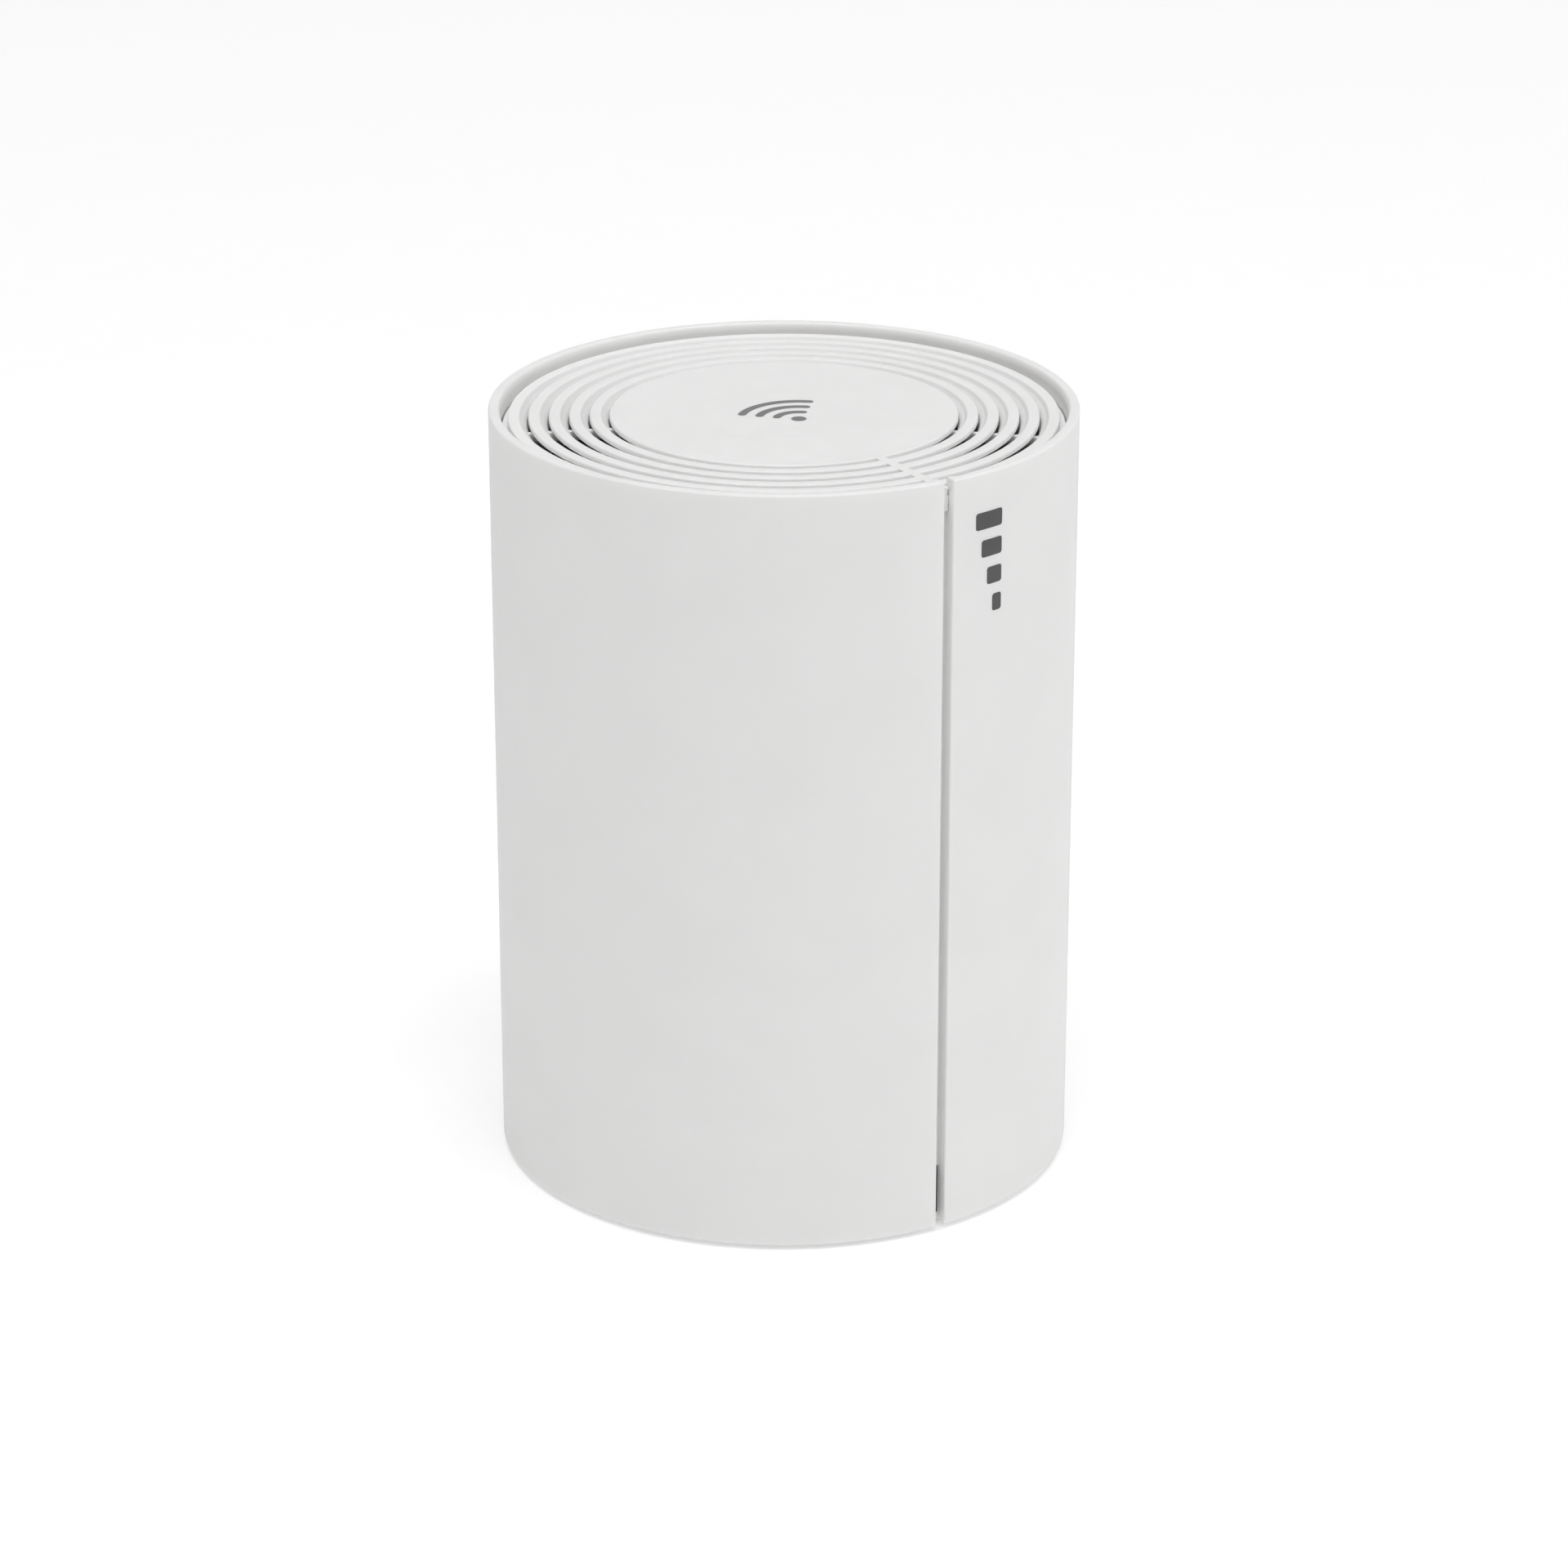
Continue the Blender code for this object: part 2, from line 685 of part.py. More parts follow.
def make_board():
    back = BOARD_FACE - BOARD_THICKNESS
    board = block(
        "main_board",
        (back, BOARD_FRONT, BOARD_LOW),
        (BOARD_FACE, BOARD_REAR, BOARD_HIGH),
        BOARD,
        corner=2.0 * MM,
        along="X",
    )
    holes = bars(
        "board_holes",
        SCREW_HOLE,
        [((back - 1 * MM, y, z), (BOARD_FACE + 1 * MM, y, z)) for y, z in BOARD_SCREWS + SINK_SCREWS],
        sides=12,
    )
    cut(board, holes)
    shield_can("soc_shield", 2.5 * MM, (-30.0 * MM, 8.0 * MM), (40.0 * MM, 84.0 * MM))
    shield_can("rf_shield", 2.5 * MM, (-22.0 * MM, 6.0 * MM), (86.0 * MM, 104.0 * MM))
    chip("soc_chip", 1.4 * MM, (-19.0 * MM, -5.0 * MM), (55.0 * MM, 69.0 * MM))
    chip("memory_chip", 1.2 * MM, (-2.0 * MM, 6.0 * MM), (56.0 * MM, 68.0 * MM))
    chip("wifi_chip", 1.2 * MM, (-12.0 * MM, -3.0 * MM), (90.0 * MM, 99.0 * MM))
    for name, height in JACK_HEIGHTS.items():
        chip(name + "_transformer", 3.6 * MM, (17.0 * MM, 24.6 * MM), (height - 6.3 * MM, height + 6.3 * MM))
    chip("power_inductor", 3.4 * MM, (8.0 * MM, 15.0 * MM), (18.0 * MM, 25.0 * MM))
    bars(
        "bulk_capacitor",
        4.0 * MM,
        [((ON_BOARD, 24.0 * MM, 24.0 * MM), (ON_BOARD + 10.0 * MM, 24.0 * MM, 24.0 * MM))],
        ALUMINIUM,
        sides=24,
    )


def chip(name, height, across, up):
    block(
        name,
        (ON_BOARD, across[0], up[0]),
        (ON_BOARD + height, across[1], up[1]),
        CHIP,
        corner=0.25 * MM,
        segments=1,
    )


def shield_can(name, height, across, up):
    """A pressed cover, open towards the board."""
    sheet = 0.4 * MM
    can = block(
        name,
        (ON_BOARD, across[0], up[0]),
        (ON_BOARD + height, across[1], up[1]),
        TIN,
        corner=0.8 * MM,
        along="X",
        segments=2,
    )
    hollow = block(
        name + "_hollow",
        (ON_BOARD - 1 * MM, across[0] + sheet, up[0] + sheet),
        (ON_BOARD + height - sheet, across[1] - sheet, up[1] - sheet),
    )
    cut(can, hollow)


def make_heatsink():
    across = (-32.0 * MM, 16.0 * MM)
    low = 30.0 * MM
    high = 100.0 * MM
    top = SINK_LOW + SINK_BASE
    block(
        "thermal_pad",
        (ON_BOARD + 2.5 * MM + GAP, -24.0 * MM, 46.0 * MM),
        (SINK_LOW - GAP, 2.0 * MM, 78.0 * MM),
        PAD,
    )
    sink = block("heatsink", (SINK_LOW, across[0], low), (top, across[1], high), ALUMINIUM)
    pitch = (across[1] - across[0] - SINK_FIN_THICKNESS) / (SINK_FINS - 1)
    starts = [across[0] + pitch * index for index in range(SINK_FINS)]
    tip = top + SINK_FIN
    fins = blocks(
        "heatsink_fins",
        [
            ((top - 0.5 * MM, start, low + 10 * MM), (tip, start + SINK_FIN_THICKNESS, high - 10 * MM))
            for start in starts
        ],
    )
    feet = bars(
        "heatsink_feet",
        3.0 * MM,
        [((ON_BOARD, y, z), (SINK_LOW + 0.5 * MM, y, z)) for y, z in SINK_SCREWS],
    )
    holes = bars(
        "heatsink_holes",
        SCREW_HOLE,
        [((ON_BOARD - 1 * MM, y, z), (top + 1 * MM, y, z)) for y, z in SINK_SCREWS],
        sides=12,
    )
    join(sink, fins, feet)
    cut(sink, holes)


# Connectors and switches at the port bay


def make_jacks():
    """Each jack is a steel shield, a moulded body and a comb of eight contacts. They are
    modelled about height zero and then copied up the bay."""
    rear = JACK_FRONT - JACK_DEPTH
    half_x = JACK_TALL / 2
    half_z = JACK_WIDTH / 2
    inset = JACK_SHEET + GAP
    shield = block("jack_shield", (-half_x, rear, -half_z), (half_x, JACK_FRONT, half_z), TIN)
    shield_hollow = block(
        "jack_shield_hollow",
        (-half_x + JACK_SHEET, rear + JACK_SHEET, -half_z + JACK_SHEET),
        (half_x - JACK_SHEET, JACK_FRONT + 1 * MM, half_z - JACK_SHEET),
    )
    cut(shield, shield_hollow)

    front = JACK_FRONT - GAP
    body = block(
        "jack_body",
        (-half_x + inset, rear + inset, -half_z + inset),
        (half_x - inset, front, half_z - inset),
        BLACK_ABS,
    )
    socket = block(
        "jack_socket", (-3.0 * MM, front - 13.0 * MM, -6.0 * MM), (5.0 * MM, front + 1 * MM, 6.0 * MM)
    )
    latch = block(
        "jack_latch", (-4.6 * MM, front - 13.0 * MM, -3.1 * MM), (-2.0 * MM, front + 1 * MM, 3.1 * MM)
    )
    latch_root = block(
        "jack_latch_root", (-5.5 * MM, front - 13.0 * MM, -1.7 * MM), (-4.0 * MM, front + 1 * MM, 1.7 * MM)
    )
    cut(body, socket, latch, latch_root)

    comb_rear = front - 12.7 * MM
    comb_front = comb_rear + 1.2 * MM
    comb = block("jack_comb", (3.2 * MM, comb_rear, -4.6 * MM), (4.7 * MM, comb_front, 4.6 * MM), GOLD)
    bm = bmesh.new()
    for index in range(8):
        along = (index - 3.5) * 1.02 * MM
        add_box(bm, (-0.18 * MM, 0.0, along - 0.22 * MM), (0.18 * MM, 7.5 * MM, along + 0.22 * MM))
    bmesh.ops.rotate(bm, cent=(0, 0, 0), matrix=Matrix.Rotation(math.radians(13), 3, "Z"), verts=bm.verts)
    bmesh.ops.translate(bm, vec=(4.3 * MM, comb_rear + 0.6 * MM, 0.0), verts=bm.verts)
    wires = from_bmesh("jack_wires", bm)
    join(comb, wires)

    pieces = {"shield": settle(shield), "housing": settle(body), "contacts": settle(comb)}
    for jack, height in JACK_HEIGHTS.items():
        for piece, source in pieces.items():
            copy_to(source, f"{jack}_jack_{piece}", (0.0, 0.0, height))
    for source in pieces.values():
        bpy.data.objects.remove(source, do_unlink=True)


def make_power_jack():
    rear = 31.0 * MM
    shoulder = BAY_FLOOR - BAY_FLOOR_THICKNESS - GAP
    nose = BAY_FLOOR + 0.2 * MM
    pin = 1.05 * MM
    bore_end = nose - 9.5 * MM
    jack = block(
        "dc_jack",
        (ON_BOARD, rear, POWER_HEIGHT - 4.7 * MM),
        (4.9 * MM, shoulder, POWER_HEIGHT + 4.7 * MM),
        BLACK_ABS,
    )
    collar = bars(
        "dc_jack_collar",
        POWER_COLLAR,
        [((0, shoulder - 1 * MM, POWER_HEIGHT), (0, nose, POWER_HEIGHT))],
        sides=24,
    )
    bore = bars(
        "dc_jack_bore",
        3.15 * MM,
        [((0, bore_end, POWER_HEIGHT), (0, nose + 1 * MM, POWER_HEIGHT))],
        sides=24,
    )
    pin_hole = bars(
        "dc_jack_pin_hole",
        pin + GAP,
        [((0, bore_end - 3.0 * MM, POWER_HEIGHT), (0, bore_end + 1 * MM, POWER_HEIGHT))],
    )
    join(jack, collar)
    cut(jack, bore, pin_hole)
    bars(
        "dc_jack_pin",
        pin,
        [((0, bore_end - 2.7 * MM, POWER_HEIGHT), (0, nose - 0.6 * MM, POWER_HEIGHT))],
        TIN,
    )


def make_switch(name, height, front, half, top, plunger_radius, plunger_front, bore_depth, travel):
    """A tact switch lying on the board, with its plunger's axis along Y over x = 0."""
    body = block(
        name + "_switch",
        (ON_BOARD, front - 5.8 * MM, height - half),
        (top, front, height + half),
        BLACK_ABS,
        corner=0.4 * MM,
        along="Y",
        segments=1,
    )
    bore = bars(
        name + "_switch_bore",
        plunger_radius + GAP,
        [((0, front - bore_depth, height), (0, front + 1 * MM, height))],
    )
    cut(body, bore)
    plunger_rear = front - bore_depth + travel + GAP
    bm = bmesh.new()
    add_bar(bm, plunger_radius, (0, plunger_rear - plunger_front, 0), (0, 0, 0))
    plunger = from_bmesh(name + "_plunger", bm, GREY_ABS)
    plunger.location = (0.0, plunger_front, height)


def make_buttons():
    flange_front = BAY_FLOOR - BAY_FLOOR_THICKNESS - GAP
    flange_rear = flange_front - 1.0 * MM
    bm = bmesh.new()
    add_bar(bm, PAIR_RADIUS, (0, flange_front - 0.5 * MM - BAY_FLOOR, 0), (0, PAIR_PROUD, 0), sides=24)
    cap = from_bmesh("wps_button", bm, WHITE_ABS)
    cap.location = (0.0, BAY_FLOOR, PAIR_HEIGHT)
    flange = bars(
        "wps_button_flange",
        PAIR_RADIUS + 0.8 * MM,
        [((0, flange_rear, PAIR_HEIGHT), (0, flange_front, PAIR_HEIGHT))],
        sides=24,
    )
    join(cap, flange)
    make_switch(
        "wps",
        PAIR_HEIGHT,
        front=42.0 * MM,
        half=3.0 * MM,
        top=3.0 * MM,
        plunger_radius=1.0 * MM,
        plunger_front=flange_rear - GAP,
        bore_depth=2.0 * MM,
        travel=PAIR_TRAVEL,
    )
    make_switch(
        "reset",
        RESET_HEIGHT,
        front=38.5 * MM,
        half=2.4 * MM,
        top=2.6 * MM,
        plunger_radius=0.9 * MM,
        plunger_front=40.2 * MM,
        bore_depth=1.8 * MM,
        travel=RESET_TRAVEL,
    )


# Status light at the foot of the slit


def make_light():
    window_low = FOOT_LIFT + WINDOW_START + GAP
    window_high = FOOT_LIFT + WINDOW_START + WINDOW_HEIGHT - GAP
    half = SLIT_WIDTH / 2 - GAP
    block(
        "light_pipe",
        (-half, SLIT_FLOOR + 0.2 * MM, window_low),
        (half, CHANNEL_BACK + 0.9 * MM, window_high),
        SMOKED,
    )
    block(
        "status_led",
        (-0.8 * MM, CHANNEL_BACK + 1.2 * MM, 6.2 * MM),
        (0.8 * MM, CHANNEL_BACK + 1.9 * MM, 7.8 * MM),
        LED_RESIN,
    )
    block(
        "led_board",
        (-5.0 * MM, CHANNEL_BACK + 2.2 * MM, BASE_HIGH + GAP),
        (5.0 * MM, CHANNEL_BACK + 3.2 * MM, 15.5 * MM),
        BOARD,
    )
    cable(
        "led_cable",
        [
            (2.5 * MM, -44.9 * MM, 12.6 * MM),
            (2.3 * MM, -42.9 * MM, 13.4 * MM),
            (-0.5 * MM, -39.0 * MM, 17.5 * MM),
            (-4.0 * MM, -36.0 * MM, 22.5 * MM),
            (-5.8 * MM, -34.5 * MM, 26.0 * MM),
        ],
        CABLE_RADIUS,
        CABLE_BLACK,
    )


# Antennas and their cables


def cable_route(angle):
    """From the antenna's feed point to its plug on the board. The two behind the frame
    pass through the frame's upper window and over the board's top edge."""
    feed = antenna_place(angle, ANTENNA_RADIUS - 1.6 * MM, 84.0 * MM)
    y_end = PLUG_SPOTS[angle]
    plug = Vector((ON_BOARD + 1.5 * MM, y_end, PLUG_HEIGHT))
    if feed.x > 0.0:
        return [
            feed,
            antenna_place(angle, ANTENNA_RADIUS - 3.6 * MM, 86.0 * MM),
            antenna_place(angle, 33.0 * MM, 99.0 * MM),
            Vector((12.0 * MM, (feed.y + y_end) / 2, 108.0 * MM)),
            Vector((1.0 * MM, y_end, PLUG_HEIGHT + 0.8 * MM)),
            plug,
        ]
    over = (feed.y + y_end) / 2
    return [
        feed,
        antenna_place(angle, ANTENNA_RADIUS - 3.6 * MM, 86.0 * MM),
        antenna_place(angle, 34.0 * MM, 104.0 * MM),
        Vector((-15.0 * MM, over, 117.0 * MM)),
        Vector((-9.5 * MM, (over + y_end) / 2, 117.4 * MM)),
        Vector((-5.0 * MM, y_end, 114.0 * MM)),
        plug + Vector((0.2 * MM, 0.0, 1.8 * MM)),
        plug,
    ]


def make_antennas():
    strip = block(
        "antenna_strip",
        (-5.0 * MM, -0.4 * MM, ANTENNA_LOW),
        (5.0 * MM, 0.4 * MM, ANTENNA_HIGH),
        BOARD,
    )
    for number, angle in enumerate(ANTENNA_ANGLES, 1):
        place = antenna_place(angle, ANTENNA_RADIUS)
        copy_to(strip, f"antenna_{number}", place, (0.0, 0.0, math.radians(angle + 90)))
        wire = settle(cable(f"antenna_cable_{number}", cable_route(angle), CABLE_RADIUS, CABLE_BLACK))
        across = PLUG_SPOTS[angle]
        plug = bars(
            f"cable_plug_{number}",
            1.3 * MM,
            [((ON_BOARD, across, PLUG_HEIGHT), (ON_BOARD + 2.2 * MM, across, PLUG_HEIGHT))],
            sides=12,
        )
        join(wire, plug)
    bpy.data.objects.remove(strip, do_unlink=True)


# Fasteners


def screw_mesh(name, length):
    """A pan-head screw with a cross recess: its head's top at z = 0 and its shank below."""
    outline = [
        (0.0, 0.0),
        (HEAD_RADIUS - 0.5 * MM, 0.0),
        (HEAD_RADIUS, -0.5 * MM),
        (HEAD_RADIUS, -HEAD_HEIGHT),
        (SHANK_RADIUS, -HEAD_HEIGHT),
        (SHANK_RADIUS, -HEAD_HEIGHT - length + 0.6 * MM),
        (SHANK_RADIUS / 2, -HEAD_HEIGHT - length),
        (0.0, -HEAD_HEIGHT - length),
    ]
    screw = turned(name, [outline], 10, STEEL)
    for turn in (0, 90):
        arm = block(
            f"{name}_recess_{turn}",
            (-1.4 * MM, -0.25 * MM, -0.7 * MM),
            (1.4 * MM, 0.25 * MM, 1.0 * MM),
            turn=turn,
        )
        cut(screw, arm)
    return settle(screw)


def make_screws():
    base = screw_mesh("base_screw", 6.2 * MM)
    for number, (x, y) in enumerate(base_screw_spots(), 1):
        copy_to(base, f"base_screw_{number}", (x, y, BASE_LOW), (math.pi, 0.0, 0.0))
    board = screw_mesh("board_screw", 5.0 * MM)
    for number, (y, z) in enumerate(BOARD_SCREWS, 1):
        copy_to(board, f"board_screw_{number}", (ON_BOARD + HEAD_HEIGHT, y, z), (0.0, math.pi / 2, 0.0))
    sink = screw_mesh("sink_screw", 8.0 * MM)
    for number, (y, z) in enumerate(SINK_SCREWS, 1):
        head = SINK_LOW + SINK_BASE + GAP + HEAD_HEIGHT
        copy_to(sink, f"heatsink_screw_{number}", (head, y, z), (0.0, math.pi / 2, 0.0))
    for source in (base, board, sink):
        bpy.data.objects.remove(source, do_unlink=True)


make_shell()
make_grille()
make_base()
make_bezel()
make_frame()
make_board()
make_heatsink()
make_jacks()
make_power_jack()
make_buttons()
make_light()
make_antennas()
make_screws()
for part in list(PARTS.objects):
    if part.modifiers or part.type == "CURVE":
        settle(part)
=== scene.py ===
"""The looks of a cylindrical wireless router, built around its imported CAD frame.

Metres, +Z up. The light slit faces -Y and the port bay faces +Y.
"""

import json
import math

import bmesh
import bpy
from mathutils import Matrix, Vector


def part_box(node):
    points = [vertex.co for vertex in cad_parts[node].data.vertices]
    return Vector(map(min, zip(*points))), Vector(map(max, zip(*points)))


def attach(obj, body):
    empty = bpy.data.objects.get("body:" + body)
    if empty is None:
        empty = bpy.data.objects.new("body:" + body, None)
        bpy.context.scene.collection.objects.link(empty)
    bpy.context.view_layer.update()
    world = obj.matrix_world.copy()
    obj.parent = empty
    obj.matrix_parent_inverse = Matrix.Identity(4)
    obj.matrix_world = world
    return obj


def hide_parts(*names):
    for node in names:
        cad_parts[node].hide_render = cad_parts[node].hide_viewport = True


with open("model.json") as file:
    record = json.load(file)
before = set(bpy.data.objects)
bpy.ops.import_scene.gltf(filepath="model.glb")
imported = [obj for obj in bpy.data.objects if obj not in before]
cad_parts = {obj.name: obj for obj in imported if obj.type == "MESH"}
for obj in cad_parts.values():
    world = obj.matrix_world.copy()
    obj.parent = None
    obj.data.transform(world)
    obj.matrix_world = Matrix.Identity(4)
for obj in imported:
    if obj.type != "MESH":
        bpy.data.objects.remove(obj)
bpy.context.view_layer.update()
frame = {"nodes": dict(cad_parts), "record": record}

MM = 0.001
FULL_TURN = math.tau
TO_REAR = Matrix.Rotation(math.radians(-90), 4, "X")

# How finely round shapes are cut up, and where shading turns sharp
SHELL_STEPS = 288
SHELL_LEVELS = 14
RING_STEPS = 240
LABEL_STEPS = 160
SMALL_STEPS = 64
SCREW_STEPS = 48
SHARP = math.radians(32)
WELD = 0.0002 * MM
LEAST_ROUND = 0.02 * MM

# Places that the frame gives
SHELL_LOW, SHELL_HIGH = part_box("outer_shell")
RADIUS = SHELL_HIGH.x
RIM = SHELL_HIGH.z
SHELL_FOOT = SHELL_LOW.z
GRILLE_LOW, GRILLE_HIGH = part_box("top_grille")
CAP_TOP = GRILLE_HIGH.z
KEY_FRONT = GRILLE_LOW.y
BASE_LOW, BASE_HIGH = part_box("base_cover")
FOOT_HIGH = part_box("foot_ring")[1]
LABEL_LOW, LABEL_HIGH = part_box("rating_label")
BEZEL_LOW, BEZEL_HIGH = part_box("port_bezel")
PIPE_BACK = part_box("light_pipe")[1].y
BUTTON_LOW, BUTTON_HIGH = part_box("wps_button")
DC_LOW, DC_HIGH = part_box("dc_jack")
DC_PIN_LOW, DC_PIN_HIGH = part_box("dc_jack_pin")

# Shell and slit
WALL = 2.1 * MM
INNER_RADIUS = RADIUS - WALL
RIM_ROUND = 0.42 * MM
# The rim's inner edge is a tall oval round: its height, and its width as a share of that
RIM_INNER_ROUND = 1.45 * MM
RIM_INNER_LEAN = 0.42
FOOT_INNER_ROUND = 0.3 * MM
SLIT_HALF = 0.9 * MM
SLIT_FLOOR = -(RADIUS - 2.4 * MM)
SLIT_ROUND = 0.3 * MM
SLIT_ROOT = 0.15 * MM
CHANNEL_HALF = 2.3 * MM
CHANNEL_BACK = SLIT_FLOOR + 1.5 * MM
CHANNEL_ROUND = 0.5 * MM
KEY_LOW = RIM - 6.0 * MM
WINDOW_LOW = SHELL_FOOT + 1.6 * MM
WINDOW_HIGH = SHELL_FOOT + 10.9 * MM

# Grille
DISC_RADIUS = 31.0 * MM
RING_START = 32.55 * MM
RING_PITCH = 3.63 * MM
RING_WIDTH = 1.98 * MM
RING_COUNT = 5
RING_LIP = 0.85 * MM
RING_ROUND = 0.32 * MM
LOUVRE_DEPTH = 2.6 * MM
LOUVRE_REACH = 1.72 * MM
LOUVRE_SLOPE = ((1.35 * MM, 1.6 * MM), (0.9 * MM, 1.1 * MM), (0.42 * MM, 0.64 * MM))
FLANGE_DROP = 1.9 * MM
GRILLE_DEPTH = 3.1 * MM
RIB_COUNT = 16
RIB_WIDTH = 1.2 * MM
RIB_DROP = 1.45 * MM
DISC_DEPTH = 1.8 * MM
CLIP_LOW = (-3.5 * MM, -48.7 * MM)
CLIP_HIGH = (3.5 * MM, -47.1 * MM)
CLIP_LENGTH = 8 * MM
CLIP_COUNT = 3

# Port bay
JACKS = ("wan", "lan1", "lan2")
BAY_FLOOR = 46.1 * MM
BAY_WALL = 1.4 * MM
BAY_CORNER = 5.0 * MM
FIT_GAP = 0.3 * MM
FLANGE_WIDTH = 1.8 * MM
BAY_CENTRE = (BEZEL_LOW.z + BEZEL_HIGH.z) / 2
BAY_HALF_X = BEZEL_HIGH.x - FLANGE_WIDTH
BAY_HALF_Z = (BEZEL_HIGH.z - BEZEL_LOW.z) / 2 - FLANGE_WIDTH


# Outlines: lists of points in a plane


def rounded(corners, steps=4):
    """A closed outline whose corners (u, v, radius) become arcs."""
    points = []
    for index, (u, v, radius) in enumerate(corners):
        corner = Vector((u, v))
        if radius <= 0.0:
            points.append(corner)
            continue
        back = (Vector(corners[index - 1][:2]) - corner).normalized()
        ahead = (Vector(corners[(index + 1) % len(corners)][:2]) - corner).normalized()
        half = back.angle(ahead) / 2
        centre = corner + (back + ahead).normalized() * (radius / math.sin(half))
        start = corner + back * (radius / math.tan(half)) - centre
        end = corner + ahead * (radius / math.tan(half)) - centre
        sweep = math.pi - 2 * half
        for step in range(steps + 1):
            share = step / steps
            arm = start * math.sin((1 - share) * sweep) + end * math.sin(share * sweep)
            points.append(centre + arm / math.sin(sweep))
    return points


def round_rect(half_u, half_v, corner, steps=6):
    signs = ((-1, -1), (1, -1), (1, 1), (-1, 1))
    return rounded([(a * half_u, b * half_v, corner) for a, b in signs], steps)


def disc(radius, steps=48):
    return [
        Vector((math.cos(FULL_TURN * step / steps), math.sin(FULL_TURN * step / steps))) * radius
        for step in range(steps)
    ]


def arc_band(radius, half_width, middle, half_sweep, steps=24):
    """A band along an arc about the origin, with round ends. Angles in degrees."""
    points = []
    for edge, direction in ((radius + half_width, 1), (radius - half_width, -1)):
        for step in range(steps + 1):
            angle = math.radians(middle + direction * half_sweep * (2 * step / steps - 1))
            points.append(Vector((math.cos(angle), math.sin(angle))) * edge)
        tip = math.radians(middle + direction * half_sweep)
        centre = Vector((math.cos(tip), math.sin(tip))) * radius
        for step in range(1, 8):
            turn = tip + math.pi * (step / 8 + (direction < 0))
            points.append(centre + Vector((math.cos(turn), math.sin(turn))) * half_width)
    return points


def grown(outline, distance):
    """The outline moved outwards by a distance. It runs anticlockwise."""
    moved = []
    for index, point in enumerate(outline):
        back = (point - outline[index - 1]).normalized()
        ahead = (outline[(index + 1) % len(outline)] - point).normalized()
        out = Vector((back.y, -back.x)) + Vector((ahead.y, -ahead.x))
        moved.append(point + out * (distance / (1.0 + back.dot(ahead))))
    return moved


def edge_arc(radius, steps=4):
    """(inset, drop) along a quarter round, from the side of a body to its top."""
    turns = [math.pi / 2 * step / steps for step in range(steps + 1)]
    return [(radius * (1 - math.cos(turn)), radius * (1 - math.sin(turn))) for turn in turns]


# Solids


def to_object(name, bm):
    bmesh.ops.remove_doubles(bm, verts=bm.verts, dist=WELD)
    bmesh.ops.dissolve_degenerate(bm, edges=bm.edges, dist=WELD)
    loose = [edge for edge in bm.edges if not edge.link_faces]
    bmesh.ops.delete(bm, geom=loose, context="EDGES")
    bmesh.ops.recalc_face_normals(bm, faces=bm.faces)
    mesh = bpy.data.meshes.new(name)
    bm.to_mesh(mesh)
    bm.free()
    obj = bpy.data.objects.new(name, mesh)
    bpy.context.scene.collection.objects.link(obj)
    return obj


def loft(name, rings, closed=False):
    """A solid through rings of equally many points. One that isn't closed on itself gets end faces."""
    bm = bmesh.new()
    rows = [[bm.verts.new(point) for point in ring] for ring in rings]
    pairs = list(zip(rows, rows[1:]))
    if closed:
        pairs.append((rows[-1], rows[0]))
    else:
        bm.faces.new(list(reversed(rows[0])))
        bm.faces.new(rows[-1])
    for low, high in pairs:
        for index in range(len(low)):
            bm.faces.new((low[index - 1], low[index], high[index], high[index - 1]))
    return to_object(name, bm)


def turned(name, outline, steps, place=None):
    """A solid of revolution about Z from (radius, height) points, then placed by a matrix."""
    rings = []
    for step in range(steps):
        turn = FULL_TURN * (step + 0.5) / steps
        across = Vector((math.cos(turn), math.sin(turn), 0.0))
        rings.append([across * radius + Vector((0.0, 0.0, height)) for radius, height in outline])
    obj = loft(name, rings, closed=True)
    if place is not None:
        obj.data.transform(place)
    return obj


def prism(name, levels, place):
    """A solid through levels of (outline, depth), with each point put in space by place(u, v, depth)."""
    return loft(name, [[place(p.x, p.y, depth) for p in outline] for outline, depth in levels])


def rounded_box(name, low, high, radius, segments=3, place=None):
    low = Vector(low)
    high = Vector(high)
    bm = bmesh.new()
    made = bmesh.ops.create_cube(bm, size=1.0)["verts"]
    bmesh.ops.scale(bm, vec=high - low, verts=made)
    bmesh.ops.translate(bm, vec=(low + high) / 2, verts=made)
    bmesh.ops.bevel(
        bm, geom=bm.edges[:], offset=radius, segments=segments, profile=0.5, affect="EDGES"
    )
    obj = to_object(name, bm)
    if place is not None:
        obj.data.transform(place)
    return obj


def settle(obj):
    """Applies the object's modifiers."""
    bpy.context.view_layer.update()
    evaluated = obj.evaluated_get(bpy.context.evaluated_depsgraph_get())
    mesh = bpy.data.meshes.new_from_object(evaluated)
    obj.modifiers.clear()
    spare = obj.data
    obj.data = mesh
    bpy.data.meshes.remove(spare)


def combine(target, operation, others):
    for other in others:
        modifier = target.modifiers.new(other.name, "BOOLEAN")
        modifier.operation = operation
        modifier.solver = "EXACT"
        modifier.object = other
    settle(target)
    for other in others:
        bpy.data.objects.remove(other, do_unlink=True)


def cut(target, *others):
    combine(target, "DIFFERENCE", others)


def join(target, *others):
    combine(target, "UNION", others)


def merged(name, objects):
    """Several separate solids as one object."""
    bm = bmesh.new()
    for obj in objects:
        bm.from_mesh(obj.data)
        bpy.data.objects.remove(obj, do_unlink=True)
    return to_object(name, bm)


